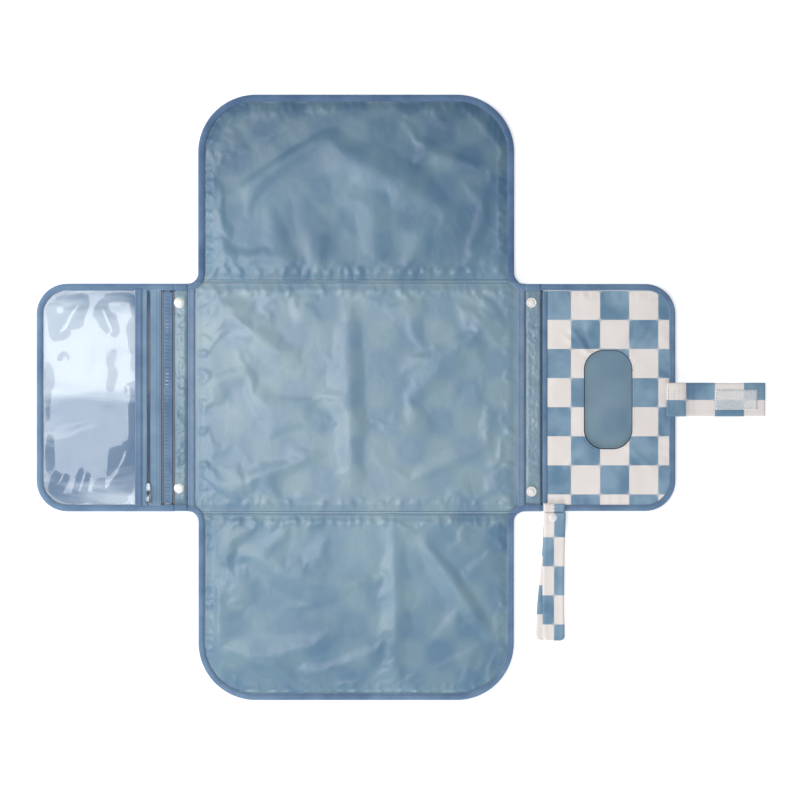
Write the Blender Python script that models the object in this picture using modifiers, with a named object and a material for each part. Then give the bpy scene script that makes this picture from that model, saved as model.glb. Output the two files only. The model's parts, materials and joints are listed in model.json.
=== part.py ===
"""Fold-out travel changing pad.

A padded centre panel carries two padded end panels and two unpadded wings.
The left wing holds a clear zip pocket and a slip pocket. The right wing holds
a wipes pocket with an oval window, a closure strap and a snap-on wrist loop.

Frame: the origin is the middle of the centre panel on its underside, +Z is up,
+X runs from the zip-pocket wing to the wipes-pocket wing. The pad lies flat.
Every size below is in millimetres and MM turns it into metres.
"""
import math

import bmesh
import bpy
from mathutils import Vector

MM = 0.001
GAP = 0.3            # clearance between pieces that touch on the real pad
HALF_GAP = 0.15      # half the clearance left along a fold line

# Plan sizes
PANEL_HALF_WIDTH = 165.5     # end panels, from the middle to the side edge
PANEL_END = 317.5            # end panels, from the middle to the far edge
PANEL_CORNER = 60.0
FOLD_Y = 121.5               # stitched fold between centre and end panels
WING_HALF_LENGTH = 119.2
WING_END = 335.0
WING_CORNER = 32.0
FILLET = 11.5                # concave corner between an end panel and a wing
FILLET_X = PANEL_HALF_WIDTH + FILLET
FILLET_Y = WING_HALF_LENGTH + FILLET
LEFT_FOLD = 177.0            # inner and outer fold lines of each wing
LEFT_LEAF = 191.0
RIGHT_FOLD = 177.4
RIGHT_LEAF = 194.4
BINDING = 8.0                # width of the edge binding
SHEET_INSET = 1.5            # how far a sheet's edge stays inside the binding
CORNER_STEPS = 9
FILLET_STEPS = 5

# Heights in the padded panels
CLOTH = 0.4
FOAM = (0.7, 2.9)
LINING_FLAT = 3.2
OUTER_EDGE = 1.0
LINING_EDGE = 1.8
PANEL_BINDING = (0.2, 3.0)
BINDING_CLOTH = 0.5
PAD_TOP = LINING_FLAT + CLOTH

# Heights in the wings
WING_CLOTH = 0.35
WING_OUTER = 0.7
WING_LINING = 1.35
RAISED_OUTER = 2.2           # snap strips arch up over the snaps' backs
RAISED_LINING = 2.85
SLIP_SHEET = 2.6
VINYL_SHEET = 3.2
VINYL = 0.3
LEFT_BINDING_TOP = 4.2
RIGHT_BINDING_TOP = 3.7
WIPES_SHEET = 2.6

# Fold axes, as heights above the underside
TOP_AXIS = PAD_TOP + 0.1
BOTTOM_AXIS = PAD_TOP + 2.1  # higher, so this panel folds on top of the other
LEFT_AXIS = LEFT_BINDING_TOP + 0.1
RIGHT_AXIS = RIGHT_BINDING_TOP + 0.1

# Zip
ZIP_X = -217.4
ZIP_HALF = 110.9
ZIP_TAPE = 4.0
BEAD_WIDTH = 1.1
BEAD_GAP = 0.6               # from the zip's middle to a coil's inner side
SLIDER_Y = (-110.4, -102.4)
SLIDER_HALF_WIDTH = 3.3
TAB_END = -89.5
TAB_HALF_WIDTH = 2.3
TAB_AXIS = (-104.2, 5.8)     # y and z of the pull tab's bar

# Wipes pocket
WIPES_INNER = 196.2          # the printed panel's inner side
WIPES_BINDING = (195.4, 200.6)
WINDOW = (238.6, 290.1, -54.5, 50.3)
WINDOW_CORNER = 21.0

# Snaps
SNAP_CAP = 6.0
SNAP_BODY = 5.35
LEFT_SNAP_X = -185.2
LEFT_SNAP_Y = (99.5, -95.0)
RIGHT_SNAP_X = 184.0
RIGHT_SNAP_Y = (99.5, -98.5)
TURN_STEPS = 16

# Closure strap and wrist loop
STRAP_AXIS = (336.9, 4.7)
STRAP_END = 429.3
STRAP_MID = -2.2
STRAP_HALF = 17.6
STRAP_CLOTH = 0.6
STRAP_ROOT = 4.0
WRIST_AXIS = (-120.0, 6.4)
WRIST_MID = 207.65
WRIST_HALF = 11.25
WRIST_CLOTH = 0.5
WRIST_BEND = -256.0
LOOP_AXIS = 0.9
WRIST_SNAP_Y = -125.9
WRIST_SNAP_X = 206.2
HOOK_PATCH = (377.0, 421.0)
HOOK_HALF = 10.5
LOOP_PATCH = (-325.0, -270.0)
LOOP_HALF = 14.0
PILE = 0.5                   # thickness of the hook patch
STRAP_ROOT_X = (325.3, 336.3)
WRIST_ROOT_Y = (-WING_HALF_LENGTH, -111.4)


def clear_scene():
    for old in list(bpy.data.objects):
        bpy.data.objects.remove(old, do_unlink=True)
    for old in list(bpy.data.collections):
        bpy.data.collections.remove(old)


def make_collection(name):
    group = bpy.data.collections.new(name)
    bpy.context.scene.collection.children.link(group)
    return group


clear_scene()
PARTS = make_collection("changing_pad")
CUTTERS = make_collection("cutters")


def material(name, color, roughness, metallic=0.0, alpha=1.0):
    mat = bpy.data.materials.new(name)
    mat.use_nodes = True
    shader = mat.node_tree.nodes["Principled BSDF"]
    shader.inputs["Base Color"].default_value = (*color, 1.0)
    shader.inputs["Roughness"].default_value = roughness
    shader.inputs["Metallic"].default_value = metallic
    shader.inputs["Alpha"].default_value = alpha
    mat.diffuse_color = (*color, alpha)
    return mat


# Bodies: one empty for each, on its joint's axis
def body(name, place, parent=None):
    empty = bpy.data.objects.new(name, None)
    empty.empty_display_size = 0.01
    PARTS.objects.link(empty)
    empty["axis_mm"] = place
    base = Vector(parent["axis_mm"]) if parent else Vector((0, 0, 0))
    empty.parent = parent
    empty.location = (Vector(place) - base) * MM
    return empty


def add_object(name, mesh, owner, color, roughness=0.6, metallic=0.0, alpha=1.0):
    """Put a mesh made in the pad's frame on a body, with its own material."""
    for vertex in mesh.vertices:
        vertex.co -= Vector(owner["axis_mm"]) * MM
    obj = bpy.data.objects.new(name, mesh)
    PARTS.objects.link(obj)
    obj.parent = owner
    obj.data.materials.append(material(name, color, roughness, metallic, alpha))
    return obj


def set_aside(tool):
    """Move a boolean tool out of the part."""
    PARTS.objects.unlink(tool)
    CUTTERS.objects.link(tool)
    tool.hide_render = True
    tool.display_type = "WIRE"


def mesh_from(name, bm):
    mesh = bpy.data.meshes.new(name)
    bm.to_mesh(mesh)
    bm.free()
    return mesh


def shell_mesh(name, rings, closed, fill):
    """Skin a row of edge loops, and close the last one with a face if asked."""
    bm = bmesh.new()
    loops = []
    for ring in rings:
        verts = [bm.verts.new(Vector(p) * MM) for p in ring]
        ends = verts[1:] + verts[:1] if closed else verts[1:]
        loops.append((verts, [bm.edges.new(pair) for pair in zip(verts, ends)]))
    for (_, low), (_, high) in zip(loops, loops[1:]):
        bmesh.ops.bridge_loops(bm, edges=low + high)
    if fill:
        bmesh.ops.contextual_create(bm, geom=loops[-1][1])
    bmesh.ops.recalc_face_normals(bm, faces=bm.faces[:])
    first = loops[0][0][0].link_faces[0]
    if first.normal.z > 0:
        bmesh.ops.reverse_faces(bm, faces=bm.faces[:])
    return mesh_from(name, bm)


def shell(name, rings, thickness, owner, color, closed=True, fill=False, **finish):
    """A sheet whose underside passes through the rings, thickened upwards."""
    mesh = shell_mesh(name, rings, closed, fill)
    obj = add_object(name, mesh, owner, color, **finish)
    thicken = obj.modifiers.new("Thickness", "SOLIDIFY")
    thicken.thickness = thickness * MM
    thicken.offset = -1.0
    thicken.use_even_offset = True
    return obj


def at(path, z):
    return [(x, y, z) for x, y in path]


def prism_mesh(name, outline, low, high, along="z"):
    """Extrude a flat outline. Along z it is (x, y), along y (x, z), along x (y, z)."""
    place = {
        "z": lambda a, b: (a, b, low),
        "y": lambda a, b: (a, low, b),
        "x": lambda a, b: (low, a, b),
    }[along]
    shift = {"z": (0, 0, 1), "y": (0, 1, 0), "x": (1, 0, 0)}[along]
    bm = bmesh.new()
    face = bm.faces.new([bm.verts.new(Vector(place(a, b)) * MM) for a, b in outline])
    made = bmesh.ops.extrude_face_region(bm, geom=[face])["geom"]
    moved = [item for item in made if isinstance(item, bmesh.types.BMVert)]
    bmesh.ops.translate(bm, verts=moved, vec=Vector(shift) * (high - low) * MM)
    bmesh.ops.recalc_face_normals(bm, faces=bm.faces[:])
    return mesh_from(name, bm)


def prism(name, outline, low, high, owner, color, along="z", **finish):
    return add_object(name, prism_mesh(name, outline, low, high, along), owner, color, **finish)


def rectangle(x0, x1, y0, y1):
    return [(x0, y0), (x1, y0), (x1, y1), (x0, y1)]


def arc(cx, cy, radius, start, end, steps):
    """Points on an arc, with its angles in degrees."""
    turn = [math.radians(start + (end - start) * i / steps) for i in range(steps + 1)]
    return [(cx + radius * math.cos(a), cy + radius * math.sin(a)) for a in turn]


def rounded_rectangle(x0, x1, y0, y1, radius, steps=CORNER_STEPS):
    return (
        arc(x1 - radius, y1 - radius, radius, 0, 90, steps)
        + arc(x0 + radius, y1 - radius, radius, 90, 180, steps)
        + arc(x0 + radius, y0 + radius, radius, 180, 270, steps)
        + arc(x1 - radius, y0 + radius, radius, 270, 360, steps)
    )


def mirrored(path, x=1, y=1):
    return [(x * a, y * b) for a, b in path]


def fillet(inset, y_cut, x_cut):
    """The concave corner of one quadrant, from the end panel's fold to the wing's."""
    radius = FILLET + inset
    start = math.degrees(math.asin((FILLET_Y - y_cut) / radius))
    if x_cut > FILLET_X:
        bend = arc(FILLET_X, FILLET_Y, -radius, start, 90, FILLET_STEPS - 1)
        return bend + [(x_cut, FILLET_Y - radius)]
    end = math.degrees(math.acos((FILLET_X - x_cut) / radius))
    return arc(FILLET_X, FILLET_Y, -radius, start, end, FILLET_STEPS)


def end_panel_path(inset, y_cut, side):
    """Round the free edges of an end panel, from fold line to fold line."""
    radius = FILLET + inset
    start = math.degrees(math.asin((FILLET_Y - y_cut) / radius))
    corner = PANEL_CORNER - inset
    half = (
        arc(FILLET_X, FILLET_Y, -radius, start, 0, FILLET_STEPS)
        + arc(PANEL_HALF_WIDTH - PANEL_CORNER, PANEL_END - PANEL_CORNER, corner, 0, 90, CORNER_STEPS)
    )
    return mirrored(half + mirrored(half, x=-1)[::-1], y=side)


def leaf_path(inset, x_cut, side):
    """Round the free edges of a wing, from its outer fold line and back."""
    corner = WING_CORNER - inset
    half = [(x_cut, WING_HALF_LENGTH - inset)] + arc(
        WING_END - WING_CORNER, WING_HALF_LENGTH - WING_CORNER, corner, 90, 0, CORNER_STEPS
    )
    return mirrored(half + mirrored(half, y=-1)[::-1], x=side)


def centre_ring(inset, near):
    """The centre panel's outline, its straight sides a distance inside the folds."""
    y_cut = FOLD_Y - near
    right = fillet(inset, y_cut, RIGHT_FOLD - near)
    left = mirrored(fillet(inset, y_cut, LEFT_FOLD - near), x=-1)
    return (
        left[::-1] + right + mirrored(right, y=-1)[::-1] + mirrored(left, y=-1)
    )


def sheet_rings(outline, edge, flat):
    """A sheet that lies flat in its middle and is pinched to `edge` all round."""
    return [
        at(outline(SHEET_INSET, HALF_GAP), edge),
        at(outline(BINDING + 0.5, 3.5), edge),
        at(outline(BINDING + 6.5, 7.5), flat),
    ]


def channel_rings(path, low, high, width=BINDING):
    """The outer faces of a strip folded round an edge: under, outside and over."""
    return [at(path(width), low), at(path(0), low), at(path(0), high), at(path(width), high)]


BLUE = (0.20, 0.30, 0.42)
LINING_BLUE = (0.25, 0.35, 0.43)
PRINT = (0.52, 0.60, 0.68)
FOAM_GREY = (0.85, 0.85, 0.82)
WHITE = (0.85, 0.83, 0.80)
CLEAR = (0.85, 0.90, 0.95)
STEEL = (0.72, 0.73, 0.74)
TEAL = (0.06, 0.14, 0.22)


def padded_panel(prefix, outline, foam_outline, owner):
    """Outer cloth, foam and lining of one padded panel."""
    shell(f"{prefix}_outer", sheet_rings(outline, OUTER_EDGE, 0.0), CLOTH, owner, PRINT, fill=True)
    prism(f"{prefix}_foam", foam_outline, *FOAM, owner, FOAM_GREY, roughness=0.9)
    rings = sheet_rings(outline, LINING_EDGE, LINING_FLAT)
    shell(f"{prefix}_lining", rings, CLOTH, owner, LINING_BLUE, fill=True, roughness=0.4)


def binding(name, path, low, high, owner, width=BINDING):
    rings = channel_rings(path, low, high, width)
    return shell(name, rings, BINDING_CLOTH, owner, BLUE, closed=False, roughness=0.7)


def make_centre(owner):
    foam = rounded_rectangle(-164.0, 164.0, -108.0, 108.0, 14.0, 4)
    padded_panel("centre", centre_ring, foam, owner)
    for label, sign, fold in (("left", -1, LEFT_FOLD), ("right", 1, RIGHT_FOLD)):
        for end, way in (("upper", 1), ("lower", -1)):

            def corner(inset, sign=sign, way=way, fold=fold):
                return mirrored(fillet(inset, FOLD_Y - HALF_GAP, fold - HALF_GAP), sign, way)

            binding(f"corner_binding_{label}_{end}", corner, *PANEL_BINDING, owner)
        make_seam_tape(f"seam_tape_{label}", sign, fold, owner)


def make_seam_tape(name, sign, fold, owner):
    """Flat tape sewn over the pinched seam between the centre and a wing."""
    half_length = 110.6
    rise = LINING_FLAT + CLOTH + GAP
    profile = [(fold - 0.4, 2.5), (fold - 3.6, 2.5), (fold - 8.0, rise + 0.1)]
    rings = [[(sign * x, y, z) for x, z in profile] for y in (-half_length, half_length)]
    shell(name, rings, CLOTH, owner, BLUE, closed=False, roughness=0.7)


def make_end_panel(prefix, side, owner):
    def outline(inset, near):
        return end_panel_path(inset, FOLD_Y + near, side)

    inner = BINDING + 8.0
    foam = [
        (PANEL_HALF_WIDTH - inner, side * (FOLD_Y + inner)),
        *mirrored(
            arc(
                PANEL_HALF_WIDTH - PANEL_CORNER,
                PANEL_END - PANEL_CORNER,
                PANEL_CORNER - inner,
                0,
                90,
                CORNER_STEPS,
            ),
            y=side,
        ),
    ]
    padded_panel(prefix, outline, foam + mirrored(foam, x=-1)[::-1], owner)

    def edge(inset):
        return end_panel_path(inset, FOLD_Y + HALF_GAP + BINDING_CLOTH, side)

    binding(f"{prefix}_binding", edge, *PANEL_BINDING, owner)


def cutter(name, place, radius):
    """A round punch that goes through every layer of a snap strip."""
    bpy.ops.mesh.primitive_cylinder_add(
        vertices=TURN_STEPS, radius=radius * MM, depth=30 * MM, location=Vector(place) * MM
    )
    tool = bpy.context.object
    tool.name = name
    for group in tool.users_collection:
        group.objects.unlink(tool)
    CUTTERS.objects.link(tool)
    tool.hide_render = True
    tool.display_type = "WIRE"
    return tool


def cut(obj, tool):
    mod = obj.modifiers.new(tool.name, "BOOLEAN")
    mod.operation = "DIFFERENCE"
    mod.solver = "EXACT"
    mod.object = tool


def make_spine_cloth(prefix, sign, x_in, x_out, owner):
    """Outer cloth, lining and edge bindings of the strip between two fold lines."""
    low, high = x_in + HALF_GAP, x_out - HALF_GAP
    edge = WING_HALF_LENGTH - SHEET_INSET
    flat = WING_HALF_LENGTH - BINDING - 0.5
    crown = flat - 4.7
    pieces = []
    for part, base, top, tint in (
        ("outer", WING_OUTER, RAISED_OUTER, PRINT),
        ("lining", WING_LINING, RAISED_LINING, LINING_BLUE),
    ):
        half = [(edge, base), (flat, base), (crown, top)]
        line = half + [(-y, z) for y, z in half[::-1]]
        rings = [[(sign * x, y, z) for y, z in line] for x in (low, high)]
        pieces.append(shell(f"{prefix}_{part}", rings, WING_CLOTH, owner, tint, closed=False))
    top = LEFT_BINDING_TOP if sign < 0 else RIGHT_BINDING_TOP
    for end, way in (("upper", 1), ("lower", -1)):

        def side(inset, way=way):
            y = way * (WING_HALF_LENGTH - inset)
            return [(sign * low, y), (sign * high, y)]

        binding(f"{prefix}_binding_{end}", side, 0.0, top, owner)
    return pieces


def turned(name, profile, place, owner, color, **finish):
    """Turn a profile of (radius, height) points, listed down its outer side."""
    bm = bmesh.new()
    verts = [bm.verts.new(Vector((r, 0, z)) * MM) for r, z in profile]
    if profile[0][0] > 0:
        verts.append(verts[0])
    for pair in zip(verts, verts[1:]):
        bm.edges.new(pair)
    mesh = mesh_from(name, bm)
    obj = bpy.data.objects.new(name, mesh)
    PARTS.objects.link(obj)
    obj.parent = owner
    obj.location = (Vector(place) - Vector(owner["axis_mm"])) * MM
    obj.data.materials.append(material(name, color, finish.get("roughness", 0.35)))
    screw = obj.modifiers.new("Turn", "SCREW")
    screw.axis = "Z"
    screw.steps = TURN_STEPS
    screw.render_steps = TURN_STEPS
    screw.use_merge_vertices = True
    screw.merge_threshold = 0.00001
    return obj


def cap_profile(radius, face, crown, post_radius, post_end):
    """A domed head with a post, from the crown's middle to the post's end."""
    dome = [
        (radius * math.sin(math.radians(a)), face + 0.35 + (crown - face - 0.35) * math.cos(math.radians(a)))
        for a in (0, 30, 60, 90)
    ]
    return dome + [(radius, face), (post_radius, face), (post_radius, post_end), (0.0, post_end)]


def flipped(profile, height):
    """The same profile upside down about a height, still listed top to bottom."""
    return [(r, 2 * height - z) for r, z in profile[::-1]]


def ring_profile(outer, inner, low, high):
    bevel = 0.3
    return [
        (inner, high),
        (outer - bevel, high),
        (outer, high - bevel),
        (outer, low + bevel),
        (outer - bevel, low),
        (inner, low),
    ]


def stud_profile(radius, low, nub_radius, top, bore, bore_top):
    """A flat flange with a rounded nub on top and a blind bore from below."""
    flange = low + 0.7
    return [
        (0.0, top),
        (nub_radius * 0.75, top),
        (nub_radius, top - 0.3),
        (nub_radius, flange),
        (radius - 0.4, flange),
        (radius, flange - 0.3),
        (radius, low),
        (bore, low),
        (bore, bore_top),
        (0.0, bore_top),
    ]


def make_left_spine(owner):
    pieces = make_spine_cloth("left_strip", -1, LEFT_FOLD, LEFT_LEAF, owner)
    face = RAISED_LINING + WING_CLOTH + GAP
    for end, y in zip(("upper", "lower"), LEFT_SNAP_Y):
        place = (LEFT_SNAP_X, y, 0)
        cap = cap_profile(SNAP_CAP, face, face + 1.4, 1.7, 0.6)
        turned(f"left_snap_cap_{end}", cap, place, owner, WHITE)
        socket = ring_profile(SNAP_BODY, 2.1, 0.1, RAISED_OUTER - GAP)
        turned(f"left_snap_socket_{end}", socket, place, owner, WHITE)
        punch = cutter(f"left_punch_{end}", place, 2.1)
        for piece in pieces:
            cut(piece, punch)


def make_right_spine(owner):
    pieces = make_spine_cloth("right_strip", 1, RIGHT_FOLD, RIGHT_LEAF, owner)
    base = RAISED_LINING + WING_CLOTH + GAP
    under = RAISED_OUTER - GAP
    for end, y in zip(("upper", "lower"), RIGHT_SNAP_Y):
        place = (RIGHT_SNAP_X, y, 0)
        stud = stud_profile(SNAP_BODY, base, 2.0, base + 1.8, 1.5, base + 0.8)
        turned(f"right_snap_stud_{end}", stud, place, owner, WHITE)
        cap = flipped(cap_profile(SNAP_CAP, 0.0, 1.5, 1.2, -2.2), under / 2)
        turned(f"right_snap_cap_{end}", cap, place, owner, WHITE)
        punch = cutter(f"right_punch_{end}", place, 1.6)
        for piece in pieces:
            cut(piece, punch)


def make_leaf_cloth(prefix, side, x_cut, top, owner):
    path = leaf_path(SHEET_INSET, x_cut + HALF_GAP, side)
    prism(f"{prefix}_outer", path, WING_OUTER, WING_OUTER + WING_CLOTH, owner, PRINT)
    prism(f"{prefix}_lining", path, WING_LINING, WING_LINING + WING_CLOTH, owner, LINING_BLUE)

    def edge(inset):
        return leaf_path(inset, x_cut + HALF_GAP, side)

    binding(f"{prefix}_binding", edge, 0.0, top, owner)


def edge_channel(name, x_low, x_high, open_side, low, high, half_length, owner):
    """A binding folded round the straight free edge of a pocket."""
    outer, inner = (x_low, x_high) if open_side < 0 else (x_high, x_low)
    rings = [
        [(x, y, z) for y in (-half_length, half_length)]
        for x, z in ((inner, low), (outer, low), (outer, high), (inner, high))
    ]
    shell(name, rings, GAP, owner, BLUE, closed=False)


def zip_side(name, outline, owner):
    prism(name, outline, -ZIP_HALF, ZIP_HALF, owner, BLUE, along="y")


def make_left_leaf(owner):
    make_leaf_cloth("left_wing", -1, LEFT_LEAF, LEFT_BINDING_TOP, owner)
    slip = leaf_path(SHEET_INSET, 193.2, -1)
    prism("slip_pocket", slip, SLIP_SHEET, SLIP_SHEET + VINYL, owner, LINING_BLUE)
    edge_channel("slip_pocket_binding", -201.6, -192.5, 1, 2.0, 3.5, 110.6, owner)
    vinyl = leaf_path(SHEET_INSET, 225.0, -1)
    prism("clear_pocket_window", vinyl, VINYL_SHEET, VINYL_SHEET + VINYL, owner, CLEAR, alpha=0.35)
    tape = rectangle(-231.7, -224.3, -ZIP_HALF, ZIP_HALF)
    prism("clear_pocket_tape", tape, 4.6, 4.9, owner, BLUE)
    for label, sign, far in (("left", -1, -229.0), ("right", 1, -204.1)):
        near = ZIP_X + sign * BEAD_GAP
        bead = near + sign * BEAD_WIDTH
        low, high = ZIP_TAPE, ZIP_TAPE + VINYL
        rim = 0.15
        section = [
            (near, low - rim),
            (bead, low - rim),
            (bead, low),
            (far, low),
            (far, high),
            (bead, high),
            (bead, high + rim),
            (near, high + rim),
        ]
        zip_side(f"zip_tape_{label}", section, owner)
    patch = rounded_rectangle(*LOOP_PATCH, STRAP_MID - LOOP_HALF, STRAP_MID + LOOP_HALF, 3.0, 3)
    prism("loop_patch", patch, 0.0, 0.4, owner, WHITE, roughness=0.9)


def make_slider(owner):
    """Two plates joined by a wedge between the coils, with a bridge on top."""
    y0, y1 = SLIDER_Y
    wide, web = SLIDER_HALF_WIDTH, 0.45
    low, mid_low, mid_high, high = 3.2, 3.7, 4.6, 5.3
    section = [(wide, low), (wide, mid_low), (web, mid_low), (web, mid_high), (wide, mid_high), (wide, high)]
    section = [(ZIP_X + x, z) for x, z in section + [(-x, z) for x, z in section[::-1]]]
    slider = prism("zip_slider", section, y0, y1, owner, STEEL, along="y", metallic=1.0)
    y_rear, y_front = y0 + 1.0, y1 - 0.6
    crown, clear, leg = 6.9, 6.3, 0.8
    bridge = [
        (y_rear, high - 0.2),
        (y_rear, crown - 0.5),
        (y_rear + 0.5, crown),
        (y_front - 0.5, crown),
        (y_front, crown - 0.5),
        (y_front, high - 0.2),
        (y_front - leg, high - 0.2),
        (y_front - leg, clear),
        (y_rear + leg, clear),
        (y_rear + leg, high - 0.2),
    ]
    mesh = prism_mesh("slider_bridge", bridge, ZIP_X - 1.0, ZIP_X + 1.0, "x")
    tool = add_object("slider_bridge", mesh, owner, STEEL)
    set_aside(tool)
    join = slider.modifiers.new("Bridge", "BOOLEAN")
    join.operation = "UNION"
    join.solver = "EXACT"
    join.object = tool


def make_pull_tab(owner):
    """A plate with an eye round the slider's bridge; the eye's end is the bar."""
    bar, height = TAB_AXIS
    half = 0.3
    eye_end = bar + 6.2
    wide, eye = TAB_HALF_WIDTH, 1.35
    nose = arc(ZIP_X, TAB_END - wide, wide, 0, 180, 6)
    plate = prism_mesh(
        "pull_tab",
        [(ZIP_X - wide, bar - half), (ZIP_X + wide, bar - half)] + nose,
        height - half,
        height + half,
    )
    tab = add_object("pull_tab", plate, owner, STEEL, metallic=1.0, roughness=0.3)
    hole = prism_mesh(
        "tab_eye",
        rectangle(ZIP_X - eye, ZIP_X + eye, bar + half, eye_end),
        height - 1.0,
        height + 1.0,
    )
    tool = add_object("tab_eye", hole, owner, STEEL)
    set_aside(tool)
    cut(tab, tool)


def make_right_leaf(owner):
    make_leaf_cloth("right_wing", 1, RIGHT_LEAF, RIGHT_BINDING_TOP, owner)
    panel = prism(
        "wipes_panel",
        leaf_path(SHEET_INSET, WIPES_INNER, 1),
        WIPES_SHEET,
        WIPES_SHEET + WING_CLOTH,
        owner,
        PRINT,
    )
    window = rounded_rectangle(*WINDOW, WINDOW_CORNER, 6)
    mesh = prism_mesh("wipes_window", window, 0.0, 10.0)
    tool = add_object("wipes_window", mesh, owner, PRINT)
    set_aside(tool)
    cut(panel, tool)
    edge_channel("wipes_pocket_binding", *WIPES_BINDING, -1, 2.0, 3.55, 110.6, owner)
    root = rectangle(*STRAP_ROOT_X, STRAP_MID - STRAP_HALF, STRAP_MID + STRAP_HALF)
    prism("closure_strap_root", root, STRAP_ROOT, STRAP_ROOT + STRAP_CLOTH, owner, PRINT)
    tab = rectangle(WRIST_MID - WRIST_HALF, WRIST_MID + WRIST_HALF, *WRIST_ROOT_Y)
    prism("wrist_strap_root", tab, STRAP_ROOT, STRAP_ROOT + WRIST_CLOTH, owner, PRINT)


def ribbon(name, sides, thickness, owner):
    """A flat strap whose underside is skinned between its two long edges."""
    return shell(name, sides, thickness, owner, PRINT, closed=False)


def make_closure_strap(owner):
    line = [(337.2, 4.0), (341.0, 3.6), (351.0, 0.7), (355.0, 0.0), (STRAP_END, 0.0)]
    edges = (STRAP_MID - STRAP_HALF, STRAP_MID + STRAP_HALF)
    ribbon("closure_strap", [[(x, y, z) for x, z in line] for y in edges], STRAP_CLOTH, owner)
    patch = rounded_rectangle(*HOOK_PATCH, STRAP_MID - HOOK_HALF, STRAP_MID + HOOK_HALF, 2.0, 3)
    low = STRAP_CLOTH + GAP
    prism("hook_patch", patch, low, low + PILE, owner, WHITE, roughness=0.9)


def make_wrist(rear_owner, front_owner):
    """The loop's rear run, sewn to the wing, and the front run that snaps to it."""
    edges = (WRIST_MID - WRIST_HALF, WRIST_MID + WRIST_HALF)
    end = WRIST_BEND + 0.4
    rear_line = [(-120.4, 1.1), (-132.0, 1.1), (-142.0, 0.0), (end, 0.0)]
    front_line = [(-120.6, 4.6), (-132.0, 4.6), (-145.0, 1.3), (end, 1.3)]
    rear = ribbon(
        "wrist_strap_rear", [[(x, y, z) for y, z in rear_line] for x in edges], WRIST_CLOTH, rear_owner
    )
    front = ribbon(
        "wrist_strap_front", [[(x, y, z) for y, z in front_line] for x in edges], WRIST_CLOTH, front_owner
    )
    place = (WRIST_SNAP_X, WRIST_SNAP_Y, 0)
    cap = cap_profile(SNAP_BODY, 5.4, 6.3, 1.7, 4.25)
    turned("wrist_snap_cap", cap, place, front_owner, WHITE)
    turned("wrist_snap_socket", ring_profile(4.9, 2.3, 2.9, 4.3), place, front_owner, WHITE)
    stud = stud_profile(4.9, 1.9, 1.9, 4.0, 1.3, 2.6)
    turned("wrist_snap_stud", stud, place, rear_owner, WHITE)
    rear_cap = flipped(cap_profile(4.9, 0.0, 0.8, 1.0, -1.7), 0.4)
    turned("wrist_rear_cap", rear_cap, place, rear_owner, WHITE)
    cut(rear, cutter("wrist_rear_punch", place, 1.4))
    cut(front, cutter("wrist_front_punch", place, 2.1))


def build():
    centre = body("centre", (0, 0, 0))
    make_centre(centre)
    make_end_panel("top", 1, body("top_panel", (0, FOLD_Y, TOP_AXIS), centre))
    make_end_panel("bottom", -1, body("bottom_panel", (0, -FOLD_Y, BOTTOM_AXIS), centre))

    left_strip = body("left_spine", (-LEFT_FOLD, 0, LEFT_AXIS), centre)
    make_left_spine(left_strip)
    left_wing = body("left_leaf", (-LEFT_LEAF, 0, LEFT_AXIS), left_strip)
    make_left_leaf(left_wing)
    slider = body("slider", (ZIP_X, SLIDER_Y[0], 4.15), left_wing)
    make_slider(slider)
    make_pull_tab(body("tab", (ZIP_X, *TAB_AXIS), slider))

    right_strip = body("right_spine", (RIGHT_FOLD, 0, RIGHT_AXIS), centre)
    make_right_spine(right_strip)
    right_wing = body("right_leaf", (RIGHT_LEAF, 0, RIGHT_AXIS), right_strip)
    make_right_leaf(right_wing)
    make_closure_strap(body("strap", (STRAP_AXIS[0], STRAP_MID, STRAP_AXIS[1]), right_wing))
    wrist = body("wrist_rear", (WRIST_MID, *WRIST_AXIS), right_wing)
    make_wrist(wrist, body("wrist_front", (WRIST_MID, WRIST_BEND, LOOP_AXIS), wrist))


build()
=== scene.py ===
import json
import math

import bmesh
import bpy
import numpy as np
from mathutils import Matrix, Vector, noise


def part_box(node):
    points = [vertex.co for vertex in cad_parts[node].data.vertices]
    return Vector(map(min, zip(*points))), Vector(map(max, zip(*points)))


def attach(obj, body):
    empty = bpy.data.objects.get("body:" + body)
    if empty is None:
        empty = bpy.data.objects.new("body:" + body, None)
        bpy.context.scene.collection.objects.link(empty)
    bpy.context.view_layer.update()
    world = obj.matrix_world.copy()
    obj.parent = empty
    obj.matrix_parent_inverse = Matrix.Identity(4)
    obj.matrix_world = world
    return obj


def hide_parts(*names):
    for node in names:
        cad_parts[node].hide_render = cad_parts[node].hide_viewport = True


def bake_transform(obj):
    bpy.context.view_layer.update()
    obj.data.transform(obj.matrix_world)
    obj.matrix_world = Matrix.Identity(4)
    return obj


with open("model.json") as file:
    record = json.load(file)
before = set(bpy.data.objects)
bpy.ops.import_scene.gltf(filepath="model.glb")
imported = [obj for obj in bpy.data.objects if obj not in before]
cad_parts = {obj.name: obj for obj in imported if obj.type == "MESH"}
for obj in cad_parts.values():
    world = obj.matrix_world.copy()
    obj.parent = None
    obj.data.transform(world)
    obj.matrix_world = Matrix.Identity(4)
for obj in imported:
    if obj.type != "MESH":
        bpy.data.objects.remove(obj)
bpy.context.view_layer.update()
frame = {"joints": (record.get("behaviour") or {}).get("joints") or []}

MM = 0.001


# ---------------------------------------------------------------- sizes, all in millimetres
def span(node):
    """A CAD node's box: (x0, x1), (y0, y1), (z0, z1)."""
    low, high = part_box(node)
    return [(a / MM, b / MM) for a, b in zip(low, high)]


def joint_at(name):
    joint = next(j for j in frame["joints"] if j["name"] == name)
    return [value / MM for value in joint["pos_m"]]


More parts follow.
